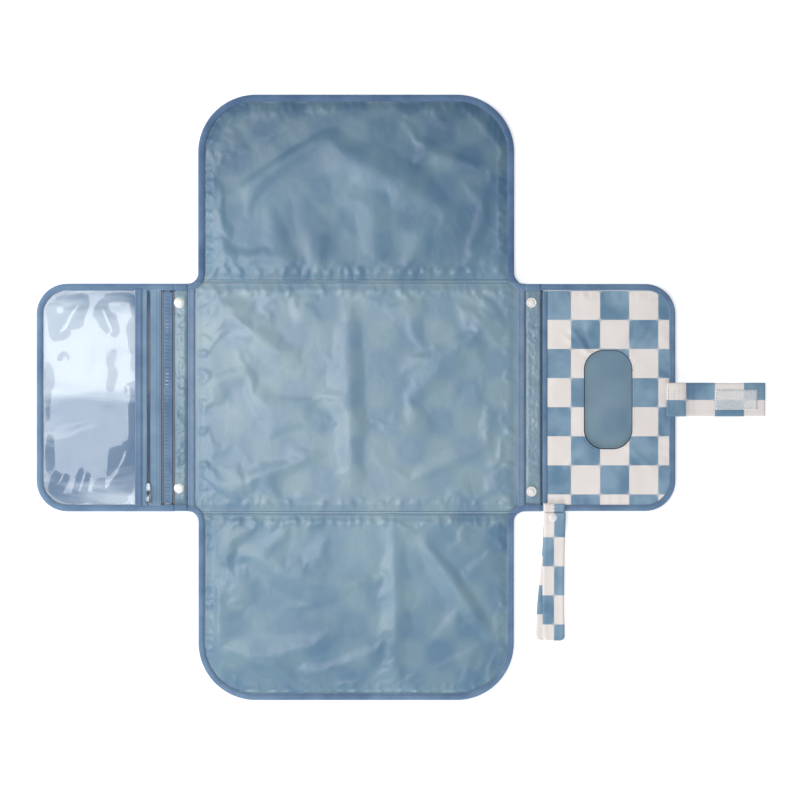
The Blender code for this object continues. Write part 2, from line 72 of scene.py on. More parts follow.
FOLD = joint_at("top_fold")[1]
LEFT_FOLD, LEFT_LEAF = joint_at("left_wing_fold")[0], joint_at("left_leaf_fold")[0]
RIGHT_FOLD, RIGHT_LEAF = joint_at("right_wing_fold")[0], joint_at("right_leaf_fold")[0]
STRAP_FOLD = joint_at("strap_fold")[0]
WRIST_FOLD = joint_at("wrist_fold")[1]
ZIP_X = joint_at("pull_tab_flip")[0]
_, (_, END), _ = span("top_binding")
(_, WING), (_, WING_HALF), (_, RIGHT_TOP) = span("right_wing_binding")
LEFT_TOP = span("left_wing_binding")[2][1]
PANEL_LOW, PANEL_HIGH = span("top_binding")[2]
SEAM_TAPES = [span("seam_tape_left")[0], span("seam_tape_right")[0]]
FILLET = 11.5             # radius of the concave corners, whose middles are at FILLET_X, FILLET_Y
FILLET_Y = WING_HALF + FILLET
FILLET_X = 177.0
SIDE = FILLET_X - FILLET  # half the width of an end panel
CORNER = 60.0             # radius of an end panel's outer corners
WING_CORNER = 32.0        # radius of a wing's outer corners
BINDING = 6.8             # how far in the folded edge tape reaches
SHEET_EDGE = 1.95         # height of the pinched lining under a binding
LINING = 3.3              # height of the lining over the foam
CHECK = 30.5              # side of a printed square
CHECK_X, CHECK_Y = 225.3, 81.4      # a corner of the printed squares


# ---------------------------------------------------------------- materials
def srgb(r, g, b):
    def linear(c):
        c /= 255
        return c / 12.92 if c <= 0.04045 else ((c + 0.055) / 1.055) ** 2.4

    return (linear(r), linear(g), linear(b), 1.0)


class Nodes:
    """A short way to write a node tree for one material."""

    def __init__(self, name, roughness, **sockets):
        self.mat = bpy.data.materials.new(name)
        self.mat.use_nodes = True
        self.tree = self.mat.node_tree
        self.shader = self.tree.nodes["Principled BSDF"]
        self.shader.inputs["Roughness"].default_value = roughness
        for key, value in sockets.items():
            self.shader.inputs[key.replace("_", " ")].default_value = value
        rest = self.tree.nodes.new("ShaderNodeAttribute")
        rest.attribute_name = "rest"
        self.rest = rest.outputs["Vector"]

    def node(self, kind, **inputs):
        made = self.tree.nodes.new(kind)
        for key, value in inputs.items():
            self.plug(made, key, value)
        return made

    def plug(self, made, key, value):
        socket = made.inputs[int(key[1:])] if key[0] == "_" else made.inputs[key]
        if isinstance(value, bpy.types.NodeSocket):
            self.tree.links.new(value, socket)
        else:
            socket.default_value = value

    def math(self, operation, a, b=0.0, c=0.0):
        made = self.tree.nodes.new("ShaderNodeMath")
        made.operation = operation
        for index, value in enumerate((a, b, c)):
            self.plug(made, f"_{index}", value)
        return made.outputs[0]

    def noise(self, scale, detail=2.0, stretch=(1, 1, 1), distortion=0.0):
        move = self.tree.nodes.new("ShaderNodeMapping")
        self.plug(move, "Vector", self.rest)
        move.inputs["Scale"].default_value = stretch
        made = self.node(
            "ShaderNodeTexNoise", Vector=move.outputs[0], Scale=scale, Detail=detail, Distortion=distortion
        )
        return made.outputs["Fac"]

    def ramp(self, value, low, high):
        made = self.tree.nodes.new("ShaderNodeMapRange")
        self.plug(made, "Value", value)
        made.inputs["From Min"].default_value = low
        made.inputs["From Max"].default_value = high
        return made.outputs[0]

    def mix(self, factor, a, b, blend="MIX"):
        made = self.tree.nodes.new("ShaderNodeMix")
        made.data_type = "RGBA"
        made.blend_type = blend
        self.plug(made, "_0", factor)
        self.plug(made, "_6", a)
        self.plug(made, "_7", b)
        return made.outputs[2]

    def axes(self):
        split = self.node("ShaderNodeSeparateXYZ", Vector=self.rest)
        return split.outputs[0], split.outputs[1]

    def weave(self, pitch, angle=0.0):
        """A plain weave: 1 on the threads' crowns and 0 between them."""
        x, y = self.axes()
        if angle:
            c, s = math.cos(angle), math.sin(angle)
            x, y = (
                self.math("ADD", self.math("MULTIPLY", x, c), self.math("MULTIPLY", y, s)),
                self.math("SUBTRACT", self.math("MULTIPLY", y, c), self.math("MULTIPLY", x, s)),
            )
        turn = 2 * math.pi / (pitch * MM)
        a = self.math("SINE", self.math("MULTIPLY", x, turn))
        b = self.math("SINE", self.math("MULTIPLY", y, turn))
        return self.math("MULTIPLY_ADD", self.math("MULTIPLY", a, b), 0.5, 0.5)

    def checks(self, soft=0.25):
        """0 on blue squares and 1 on cream ones, with edges this many millimetres soft."""
        x, y = self.axes()
        waves = []
        for value, start in ((x, CHECK_X), (y, CHECK_Y)):
            turn = self.math("MULTIPLY", self.math("SUBTRACT", value, start * MM), math.pi / (CHECK * MM))
            waves.append(self.math("SINE", turn))
        both = self.math("MULTIPLY", *waves)
        edge = math.sin(math.pi * soft / CHECK)
        return self.ramp(both, -edge, edge)

    def bump(self, height, strength, distance):
        made = self.node("ShaderNodeBump", Height=height)
        made.inputs["Strength"].default_value = strength
        made.inputs["Distance"].default_value = distance * MM
        return made

    def done(self, color, *bumps):
        self.plug(self.shader, "Base Color", color)
        normal = None
        for height, strength, distance in bumps:
            made = self.bump(height, strength, distance)
            if normal:
                self.plug(made, "Normal", normal)
            normal = made.outputs[0]
        if normal:
            self.plug(self.shader, "Normal", normal)
        return self.mat


def nylon(name, light, dark, show=0.3, painted_shade_span=None, painted_sheen_noise=(8.0, (1.0, 0.7, 1.0)), spread=0.14):
    """Satin nylon lining: fine weave, soft blotches of painted satin sheen and shade, and the printed squares
    faintly showing through.
    Given two places along the pad, it darkens gradually between them: painted shade."""
    n = Nodes(name, 0.32, Specular_IOR_Level=0.75, Sheen_Weight=0.2, Sheen_Roughness=0.4)
    n.shader.inputs["Sheen Tint"].default_value = srgb(196, 214, 226)
    # painted satin sheen and shade: soft blotches between the dark and the light colour
    painted_sheen = n.ramp(n.noise(painted_sheen_noise[0], 4.0, painted_sheen_noise[1], 0.6), 0.5 - spread, 0.5 + spread)
    cloth = n.mix(painted_sheen, srgb(*dark), srgb(*light))
    # painted shade: gradually darker along the pad between the two given places
    if painted_shade_span:
        away = n.ramp(n.axes()[1], painted_shade_span[0] * MM, painted_shade_span[1] * MM)
        cloth = n.mix(n.math("MULTIPLY", away, 0.6), cloth, srgb(58, 92, 120))
    patch = n.math("MULTIPLY", n.checks(4.0), n.ramp(n.noise(9.0, 1.0), 0.28, 0.5))
    shown = n.mix(n.math("MULTIPLY", patch, show), cloth, srgb(156, 180, 178))
    thread = n.mix(n.math("MULTIPLY", n.weave(0.55), 0.14), shown, srgb(70, 98, 122))
    crease = n.noise(55.0, 4.0, (1.0, 0.6, 1.0), 1.2)
    return n.done(thread, (n.weave(0.55), 0.25, 0.08), (crease, 0.25, 0.9))


def printed(name):
    """Smooth woven polyester with printed squares."""
    n = Nodes(name, 0.5, Sheen_Weight=0.15, Sheen_Roughness=0.5)
    fade = n.noise(30.0, 3.0)
    blue = n.mix(n.ramp(fade, 0.36, 0.64), srgb(98, 134, 162), srgb(136, 166, 188))
    cream = n.mix(fade, srgb(234, 224, 218), srgb(246, 239, 235))
    color = n.mix(n.checks(), blue, cream)
    color = n.mix(n.math("MULTIPLY", n.weave(0.6), 0.07), color, srgb(96, 112, 130))
    return n.done(color, (n.weave(0.6), 0.3, 0.08), (n.noise(70.0, 3.0, distortion=0.8), 0.12, 0.6))


def tape_cloth(name, light, dark):
    """Grosgrain: fine ribs, with a little wear along them."""
    n = Nodes(name, 0.62, Sheen_Weight=0.3, Sheen_Roughness=0.5)
    fade = n.ramp(n.noise(40.0, 3.0), 0.3, 0.7)
    color = n.mix(fade, srgb(*dark), srgb(*light))
    rib = n.weave(0.9, math.radians(45))
    color = n.mix(n.math("MULTIPLY", rib, 0.25), color, srgb(62, 88, 122))
    return n.done(color, (rib, 0.5, 0.18), (n.noise(90.0, 2.0), 0.2, 0.4))


def plastic(name):
    n = Nodes(name, 0.28, Subsurface_Weight=0.05, Coat_Weight=0.2)
    fade = n.noise(160.0, 2.0)
    color = n.mix(fade, srgb(236, 230, 224), srgb(246, 242, 238))
    return n.done(color, (n.noise(700.0, 2.0), 0.05, 0.05))


def metal(name):
    n = Nodes(name, 0.34, Metallic=1.0)
    fade = n.noise(420.0, 4.0, (1, 6, 1))
    color = n.mix(fade, srgb(96, 110, 126), srgb(168, 176, 186))
    return n.done(color, (fade, 0.12, 0.05))


def thread(name, color, dark):
    n = Nodes(name, 0.55, Sheen_Weight=0.4)
    return n.done(n.mix(n.noise(300.0, 2.0), srgb(*dark), srgb(*color)), (n.weave(0.4), 0.4, 0.06))


def pile(name, light, dark):
    """Hook or loop tape: a dense short pile."""
    n = Nodes(name, 0.7, Sheen_Weight=0.5)
    cells = n.node("ShaderNodeTexVoronoi", Vector=n.rest, Scale=900.0)
    color = n.mix(cells.outputs["Distance"], srgb(*light), srgb(*dark))
    color = n.mix(n.math("MULTIPLY_ADD", n.checks(0.6), -0.3, 0.3), color, srgb(160, 186, 208))
    return n.done(color, (cells.outputs["Distance"], 0.8, 0.35))


def foam_grain(name):
    n = Nodes(name, 0.9)
    cells = n.node("ShaderNodeTexVoronoi", Vector=n.rest, Scale=500.0)
    return n.done(n.mix(cells.outputs["Distance"], srgb(236, 236, 230), srgb(210, 210, 204)),
                  (cells.outputs["Distance"], 0.6, 0.3))


def vinyl(name):
    """Clear glossy sheet: mostly seen through, with a strong mirror on top."""
    n = Nodes(name, 0.04)
    tree = n.tree
    clear = n.node("ShaderNodeBsdfTransparent", Color=(0.93, 0.955, 0.975, 1))
    ripple = n.noise(26.0, 2.0, distortion=1.0)
    gloss = n.node("ShaderNodeBsdfGlossy", Color=(1, 1, 1, 1), Roughness=0.07)
    haze = n.node("ShaderNodeBsdfGlossy", Color=(1, 1, 1, 1), Roughness=0.32)
    n.plug(gloss, "Normal", n.bump(ripple, 0.3, 1.0).outputs[0])
    shine = n.node("ShaderNodeMixShader", _0=0.5, _1=gloss.outputs[0], _2=haze.outputs[0])
    mixed = n.node("ShaderNodeMixShader", _0=0.034, _1=clear.outputs[0], _2=shine.outputs[0])
    out = next(x for x in tree.nodes if x.type == "OUTPUT_MATERIAL")
    tree.links.new(mixed.outputs[0], out.inputs["Surface"])
    return n.mat


LINING_MID = nylon("lining_centre", (132, 159, 176), (110, 141, 166), 0.36)
# the top lining is a darker copy of the lining, darker still towards its far edge: painted shade
LINING_TOP_PAINTED_SHADE = nylon("lining_top_painted_shade", (106, 141, 164), (70, 108, 139), 0.2, (END - 110, END - 5))
LINING_END = nylon("lining_bottom", (128, 158, 176), (92, 128, 155), 0.26)
LINING_WING = nylon("lining_wings", (130, 156, 172), (100, 130, 152), 0.2)
# cloth under the clear window: its strong light and dark blotches are painted satin highlights and shade
POCKET_PAINTED_SHEEN = nylon(
    "pocket_cloth_painted_sheen", (206, 212, 220), (62, 102, 138), 0.0, painted_sheen_noise=(12.0, (0.5, 1.2, 1.0)), spread=0.08
)
# a dark sheet that stands for the shade inside pocket openings and around the window: painted shade
MOUTH_PAINTED_SHADE = nylon("pocket_mouth_painted_shade", (44, 70, 96), (22, 44, 68), 0.0)
PRINT = printed("check_print")
EDGE = tape_cloth("edge_tape", (116, 146, 176), (86, 117, 152))
# a darker copy of the edge tape, used on the top panel's binding: painted shade
EDGE_PAINTED_SHADE = tape_cloth("edge_tape_shaded", (92, 124, 160), (64, 96, 136))
TAPE = tape_cloth("seam_tape_cloth", (132, 156, 180), (112, 140, 170))
ZIP_CLOTH = tape_cloth("zip_tape_cloth", (130, 158, 182), (108, 138, 166))
COIL = tape_cloth("coil_nylon", (44, 82, 112), (28, 60, 92))
STITCH = thread("stitch_thread", (96, 124, 156), (70, 98, 132))
DARK_STITCH = thread("seam_thread", (60, 90, 120), (42, 70, 98))
SNAP = plastic("snap_plastic")
METAL = metal("zip_metal")
PILE = pile("hook_pile", (252, 250, 248), (236, 236, 235))
FOAM = foam_grain("foam_grain")
VINYL = vinyl("clear_vinyl")


# ---------------------------------------------------------------- building and placing pieces
def piece(name, verts, faces, mat):
    """A mesh from millimetre points, which keeps its rest places for its pattern."""
    mesh = bpy.data.meshes.new(name)
    mesh.from_pydata([tuple(c * MM for c in v) for v in verts], [], faces)
    mesh.materials.append(mat)
    mesh.shade_smooth()
    obj = bpy.data.objects.new(name, mesh)
    bpy.context.scene.collection.objects.link(obj)
    return obj


def keep_rest(obj, shift=(0, 0, 0)):
    """Store each point's place, moved by shift millimetres, for the patterns."""
    mesh = obj.data
    co = np.zeros(len(mesh.vertices) * 3)
    mesh.vertices.foreach_get("co", co)
    co = co.reshape(-1, 3) + np.array(shift) * MM
    old = mesh.attributes.get("rest")
    if old:
        mesh.attributes.remove(old)
    mesh.attributes.new("rest", "FLOAT_VECTOR", "POINT").data.foreach_set("vector", co.ravel())
    return obj


def apply_modifiers(obj):
    graph = bpy.context.evaluated_depsgraph_get()
    mesh = bpy.data.meshes.new_from_object(obj.evaluated_get(graph))
    obj.modifiers.clear()
    obj.data = mesh
    return obj


def thicken(obj, thickness, offset=-1.0):
    mod = obj.modifiers.new("Thickness", "SOLIDIFY")
    mod.thickness = thickness * MM
    mod.offset = offset
    return apply_modifiers(obj)


def subdivide(obj):
    mod = obj.modifiers.new("Smooth", "SUBSURF")
    mod.levels = mod.render_levels = 1
    return apply_modifiers(obj)


SLOTS = {
    "lining": (LINING_MID, LINING_TOP_PAINTED_SHADE, LINING_END, LINING_WING, POCKET_PAINTED_SHEEN, MOUTH_PAINTED_SHADE),
    "check_print": (PRINT,),
    "binding": (EDGE, EDGE_PAINTED_SHADE, TAPE, ZIP_CLOTH, COIL, STITCH, DARK_STITCH),
    "foam": (FOAM,),
    "clear_vinyl": (VINYL,),
    "snap_plastic": (SNAP,),
    "hook_and_loop": (PILE,),
    "zip_metal": (METAL,),
}


def settle(obj, where, nodes=(), shift=(0, 0, 0)):
    """Finish a piece: pattern places, its body, and the CAD nodes it stands for. Given a blend instead of a
    body, it only bakes the piece's place; the blend is not used.
    """
    keep_rest(obj, shift)
    if isinstance(where, str):
        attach(obj, where)
    else:
        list(where[:2])
        [c * MM for c in where[2]]
        [c * MM for c in where[3]]
        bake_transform(obj)
    if nodes:
        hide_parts(*nodes)
    mat = obj.data.materials[0]
    next(key for key, mats in SLOTS.items() if mat in mats)
    return obj


SOFTEN = 11.0      # how far past a fold line a blend's second place lies; the blends are not used
TOP = ("centre", "top_panel", (0, FOLD, 0), (0, FOLD + SOFTEN, 0))
BOTTOM = ("centre", "bottom_panel", (0, -FOLD, 0), (0, -FOLD - SOFTEN, 0))
LEFT_STRIP = ("centre", "left_spine", (LEFT_FOLD, 0, 0), (LEFT_FOLD - 5, 0, 0))
LEFT_WING = ("left_spine", "left_leaf", (LEFT_LEAF, 0, 0), (LEFT_LEAF - 7, 0, 0))
RIGHT_STRIP = ("centre", "right_spine", (RIGHT_FOLD, 0, 0), (RIGHT_FOLD + 4, 0, 0))
RIGHT_WING = ("right_spine", "right_leaf", (RIGHT_LEAF, 0, 0), (RIGHT_LEAF + 7, 0, 0))
STRAP = ("right_leaf", "closure_strap", (WING + 0.6, 0, 0), (STRAP_FOLD + 5, 0, 0))
WRIST = ("right_leaf", "wrist_strap", (0, WRIST_FOLD, 0), (0, WRIST_FOLD - 1.4, 0))


# ---------------------------------------------------------------- outlines
def arc(cx, cy, radius, start, end, steps):
    turn = np.radians(np.linspace(start, end, steps + 1))
    return [(cx + radius * math.cos(a), cy + radius * math.sin(a)) for a in turn]


def line(a, b, step=2.5):
    count = max(1, round(math.dist(a, b) / step))
    return [tuple(np.add(a, np.subtract(b, a) * i / count)) for i in range(count)]


def mirrored(path, x=1, y=1):
    return [(a * x, b * y) for a, b in path]


def end_path(inset, side):
    """Round the free edges of an end panel, from fold line to fold line."""
    radius = FILLET + inset
    start = math.degrees(math.asin((FILLET_Y - FOLD) / radius))
    x, corner = SIDE - inset, CORNER - inset
    half = (
        arc(FILLET_X, FILLET_Y, -radius, start, 0, 5)[:-1]
        + line((x, FILLET_Y), (x, END - CORNER))
        + arc(SIDE - CORNER, END - CORNER, corner, 0, 90, 26)[:-1]
        + line((SIDE - CORNER, END - inset), (0, END - inset))
    )
    return mirrored(half + [(0, END - inset)] + mirrored(half, x=-1)[::-1], y=side)


def wing_path(inset, side, start):
    """Round a wing's free edges from an x at its inner side and back."""
    y, corner = WING_HALF - inset, WING_CORNER - inset
    half = (
        line((start, y), (start + 8, y), 1.2)
        + line((start + 8, y), (WING - WING_CORNER, y))
        + arc(WING - WING_CORNER, WING_HALF - WING_CORNER, corner, 90, 0, 18)[:-1]
        + line((WING - inset, WING_HALF - WING_CORNER), (WING - inset, 0))
    )
    return mirrored(half + [(WING - inset, 0)] + mirrored(half, y=-1)[::-1], x=side)


def fillet_path(inset, fold):
    """The concave corner from the end panel's fold to the wing's fold."""
    radius = FILLET + inset
    start = math.degrees(math.asin((FILLET_Y - FOLD) / radius))
    return arc(FILLET_X, FILLET_Y, -radius, start, 90, 9) + [(abs(fold) + 0.01, WING_HALF - inset)]


def loft(rings):
    """Points and faces of a skin over rows of equal length."""
    rows, count = len(rings), len(rings[0])
    verts = [p for ring in rings for p in ring]
    faces = [
        (r * count + i, r * count + i + 1, (r + 1) * count + i + 1, (r + 1) * count + i)
        for r in range(rows - 1)
        for i in range(count - 1)
    ]
    return verts, faces


def tube_faces(base, rows, sides=6):
    """Faces of a tube whose rings of points follow each other from index base."""
    return [
        (
            base + row * sides + k,
            base + row * sides + (k + 1) % sides,
            base + (row + 1) * sides + (k + 1) % sides,
            base + (row + 1) * sides + k,
        )
        for row in range(rows)
        for k in range(sides)
    ]


def wander(x, y, seed, scale):
    return noise.noise(Vector((x / scale, y / scale, seed)))


def folded_tape(name, path, low, high, where, nodes, seed, mat=EDGE, last=None):
    """A tape folded round an edge, a little uneven in height as sewn.
    last is its height at the path's end."""
    nose = (high - low) / 2
    middle = (high + low) / 2
    section = [(BINDING, low + 0.1), (BINDING * 0.5, low), (nose, low)]
    turns = np.linspace(math.pi / 2, -math.pi / 2, 7)[1:-1]
    section += [(nose * (1 - math.cos(a)), middle - nose * math.sin(a)) for a in turns]
    section += [(nose, high), (BINDING * 0.35, high + 0.1), (BINDING * 0.62, high)]
    section += [(BINDING * 0.9, high - 0.45), (BINDING, high - 0.85)]
    rings = []
    for inset, z in section:
        ring = []
        points = path(inset)
        for index, (x, y) in enumerate(points):
            if last and z > middle:
                z_here = z + (last - high) * index / (len(points) - 1)
            else:
                z_here = z
            lift = 0.16 * wander(x, y, seed, 7.0) + 0.1 * wander(x, y, seed + 5, 2.6)
            ring.append((x, y, max(0.02, z_here + (lift if z > middle else 0))))
        rings.append(ring)
    verts, faces = loft(rings)
    obj = thicken(piece(name, verts, faces, mat), 0.35, 1.0)
    return settle(obj, where, nodes)


def grid(x0, x1, y0, y1, step, keep, height):
    """A square mesh over a box, without the squares that lie outside the outline."""
    nx, ny = max(2, round((x1 - x0) / step)), max(2, round((y1 - y0) / step))
    xs, ys = np.linspace(x0, x1, nx + 1), np.linspace(y0, y1, ny + 1)
    verts, index, faces = [], {}, []
    for j in range(ny):
        for i in range(nx):
            if not keep((xs[i] + xs[i + 1]) / 2, (ys[j] + ys[j + 1]) / 2):
                continue
            face = []
            for a, b in ((i, j), (i + 1, j), (i + 1, j + 1), (i, j + 1)):
                if (a, b) not in index:
                    index[a, b] = len(verts)
                    verts.append((xs[a], ys[b], height(xs[a], ys[b])))
                face.append(index[a, b])
            faces.append(face)
    return verts, faces


def edge_depth(kind, x, y):
    """How far a point is inside a panel's outline, and inside its fold lines."""
    x_in, y_in = abs(x), abs(y)
    if kind == "centre":
        tape = -SEAM_TAPES[0][1] if x < 0 else SEAM_TAPES[1][0]
        seam = min(tape - x_in, FOLD - y_in)
        free = math.hypot(FILLET_X - x_in, FILLET_Y - y_in) - FILLET
        return free, seam
    side = SIDE
    if y_in < FILLET_Y:
        side = FILLET_X - math.sqrt(max(0.0, FILLET**2 - (FILLET_Y - y_in) ** 2))
    dx, dy = x_in - (SIDE - CORNER), y_in - (END - CORNER)
    free = min(side - x_in, END - y_in)
    if dx > 0 and dy > 0:
        free = min(free, CORNER - math.hypot(dx, dy))
    return free, y_in - FOLD


def wing_depth(x, y):
    x_in, y_in = abs(x), abs(y)
    dx, dy = x_in - (WING - WING_CORNER), y_in - (WING_HALF - WING_CORNER)
    free = min(WING - x_in, WING_HALF - y_in)
    if dx > 0 and dy > 0:
        free = min(free, WING_CORNER - math.hypot(dx, dy))
    return free


def smooth(value, low, high):
    t = min(1.0, max(0.0, (value - low) / (high - low)))
    return t * t * (3 - 2 * t)


# ---------------------------------------------------------------- wrinkled linings
CLOTH_FRAMES = 34         # how long a lining is left to buckle
LINING_STEP = 2.6         # side of a lining's mesh squares


def crumple(verts, faces, pinned, extra):
    """Give a pinned cloth more length than it has room for, and let it buckle."""
    obj = piece("crumpling", verts, faces, LINING_MID)
    group = obj.vertex_groups.new(name="held")
    for index, share in enumerate(pinned):
        if share > 0:
            group.add([index], share, "REPLACE")
    cloth = obj.modifiers.new("Cloth", "CLOTH")
    setup = cloth.settings
    setup.quality = 6
    setup.mass = 0.15
    setup.vertex_group_mass = "held"
    setup.shrink_min = -extra
    setup.tension_stiffness = setup.compression_stiffness = 12
    setup.shear_stiffness = 6
    setup.bending_stiffness = 0.4
    setup.air_damping = 3
    setup.effector_weights.gravity = 0.0
    cloth.collision_settings.use_collision = False
    cloth.point_cache.frame_start, cloth.point_cache.frame_end = 1, CLOTH_FRAMES
    for number in range(1, CLOTH_FRAMES + 1):
        bpy.context.scene.frame_set(number)
    graph = bpy.context.evaluated_depsgraph_get()
    done = obj.evaluated_get(graph).to_mesh()
    moved = [tuple(c / MM for c in v.co) for v in done.vertices]
    bpy.data.objects.remove(obj)
    bpy.context.scene.frame_set(1)
    return moved


def pad_profile(free, seam, edge, crown):
    """Height of a lining from its bound edge, its sewn fold line and its crown."""
    rim = smooth(free, BINDING - 1.0, BINDING + 12.0)
    fold = smooth(seam, 2.0, 12.0)
    groove = 0.75 * math.exp(-(((free - BINDING - 0.7) / 1.0) ** 2))
    return edge + (crown - edge) * rim * fold - groove


def puckers(along, depth, seed, pitch=6.5, reach=15.0):
    """Small gathers that run in from a sewn edge and die out."""
    if depth > reach or depth < 0.5:
        return 0.0
    wave = noise.noise(Vector((along / pitch, depth / 22.0, seed)))
    fine = noise.noise(Vector((along / (pitch * 0.45), depth / 12.0, seed + 3)))
    return (2.1 * wave + 1.2 * fine) * smooth(depth, 0.3, 2.5) * (1 - smooth(depth, 3.0, reach))


def ridge(x, y, a, b, width, height):
    """A soft fold that runs from a to b."""
    (ax, ay), (bx, by) = a, b
    t = ((x - ax) * (bx - ax) + (y - ay) * (by - ay)) / ((bx - ax) ** 2 + (by - ay) ** 2)
    t_in = min(1.0, max(0.0, t))
    off = math.hypot(x - ax - t_in * (bx - ax), y - ay - t_in * (by - ay))
    return height * math.exp(-((off / width) ** 2)) * smooth(t, -0.15, 0.2) * (1 - smooth(t, 0.8, 1.15))


def lining(name, kind, box, mat, where, nodes, seed, folds, extra=0.012):
    """A panel's satin lining: crowned over the foam, gathered at its seams and creased."""
    under = 3.0

    def inside(x, y):
        free, seam = edge_depth(kind, x, y)
        return free > under and seam > (0.15 if kind != "centre" or abs(y) > FOLD - 1.5 else -2.5)

    def height(x, y):
        free, seam = edge_depth(kind, x, y)
        z = pad_profile(free, seam, SHEET_EDGE, LINING)
        along = x if abs(y) > FOLD - 16 and abs(x) < 150 else y
        near_edge = puckers(along, free - BINDING, seed)
        seam_along = x if kind != "centre" or abs(y) > FOLD - 16 else y
        near_seam = puckers(seam_along, seam - 2.5, seed + 9, 8.0, 16.0)
        swell = 0.75 * wander(x, y, seed, 62.0) + 0.4 * wander(x, y, seed + 7, 27.0)
        z += (swell + near_edge + near_seam) * smooth(min(free - BINDING + 3, seam), 0.0, 8.0)
        for fold in folds:
            z += ridge(x, y, *fold)
        return z

    verts, faces = grid(*box, LINING_STEP, inside, height)
    pinned = []
    for x, y, _ in verts:
        free, seam = edge_depth(kind, x, y)
        pinned.append(1.0 - smooth(min(free - BINDING + 2, seam), 1.0, 9.0))
    moved = crumple(verts, faces, pinned, extra)
    final = []
    for (x, y, z), (mx, my, mz) in zip(verts, moved):
        lift = mz - z
        z = z + max(-0.25, min(2.2, 0.55 * lift))
        free, seam = edge_depth(kind, x, y)
        flat = smooth(min(free - BINDING + 3, seam), 0.0, 6.0)
        low = 1.25 + 1.7 * smooth(min(free - BINDING, seam), 0.8, 9.0)
        z = max(z, low + 0.12 * wander(x, y, seed + 2, 9.0))
        final.append((x + (mx - x) * 0.5 * flat, y + (my - y) * 0.5 * flat, min(z, 6.2)))
    obj = piece(name, final, faces, mat)
    obj = thicken(subdivide(obj), 0.3)
    settle(obj, where, nodes)
    return obj


CENTRE_BOX = (LEFT_FOLD, RIGHT_FOLD, -FOLD, FOLD)
lining(
    "centre_pad_lining", "centre", CENTRE_BOX, LINING_MID, "centre", ("centre_lining",), 1.0,
    folds=(
        ((-10, 118), (-2, -110), 11.0, 0.6),
        ((-150, 100), (-60, 30), 12.0, 0.9),
        ((60, 20), (150, 84), 12.0, 0.8),
        ((-140, -96), (-40, -60), 10.0, 0.8),
        ((50, -90), (140, -50), 9.0, 0.7),
    ),
)
lining(
    "top_pad_lining", "end", (-SIDE, SIDE, FOLD, END), LINING_TOP_PAINTED_SHADE, TOP, ("top_lining",), 21.0,
    folds=(
        ((-6, 300), (-138, 226), 12.0, -1.3),
        ((-18, 286), (-120, 222), 9.0, 1.2),
        ((8, 300), (62, 256), 11.0, -1.1),
        ((-30, 262), (104, 196), 16.0, 1.1),
        ((62, 262), (146, 236), 10.0, 0.9),
        ((-140, 150), (-60, 142), 8.0, 0.9),
    ),
    extra=0.007,
)
lining(
    "bottom_pad_lining", "end", (-SIDE, SIDE, -END, -FOLD), LINING_END, BOTTOM, ("bottom_lining",),
    41.0,
    folds=(
        ((38, -128), (42, -300), 8.0, 1.2),
        ((70, -150), (140, -250), 7.0, 1.6),
        ((-130, -150), (-30, -210), 13.0, 1.0),
        ((-120, -280), (-20, -250), 12.0, 0.9),
    ),
)


def everywhere(x, y):
    """The outline test of a cloth that fills its box."""
    return True


def cloth(name, box, step, keep, height, mat, where, nodes, thickness=0.3, declare=True):
    """A single layer of cloth over a box, at a height given for each point."""
    verts, faces = grid(*box, step, keep, height)
    obj = piece(name, verts, faces, mat)
    obj = thicken(obj, thickness)
    settle(obj, where, nodes)
    return obj


# share of a stitch's length, share of its radius, and lift, ring by ring
STITCH_RINGS = ((0, 0.15, -0.15), (0.18, 0.9, 0.06), (0.5, 1.0, 0.16), (0.82, 0.9, 0.06), (1, 0.15, -0.15))


def stitches(name, path, where, mat=STITCH, length=2.3, gap=0.9, radius=0.24):
    """A row of stitches along a path of points, each a small sunken thread."""
    verts, faces = [], []
    points = [Vector(p) for p in path]
    run, spots = 0.0, [(0.0, points[0])]
    for a, b in zip(points, points[1:]):
        run += (b - a).length
        spots.append((run, b))

    def at(distance):
        for (d0, a), (d1, b) in zip(spots, spots[1:]):
            if distance <= d1:
                return a + (b - a) * ((distance - d0) / max(1e-6, d1 - d0))
        return spots[-1][1]

    start = gap
    while start + length < run:
        a, b = at(start), at(start + length)
        along = (b - a).normalized()
        side = along.cross(Vector((0, 0, 1))).normalized()
        base = len(verts)
        for share, size, lift in STITCH_RINGS:
            middle = a + (b - a) * share + Vector((0, 0, lift))
            for k in range(6):
                turn = k * math.pi / 3
                rise = Vector((0, 0, math.sin(turn) * radius * size))
                verts.append(middle + side * math.cos(turn) * radius * size + rise)
        faces += tube_faces(base, 4)
        start += length + gap
    return settle(piece(name, verts, faces, mat), where)


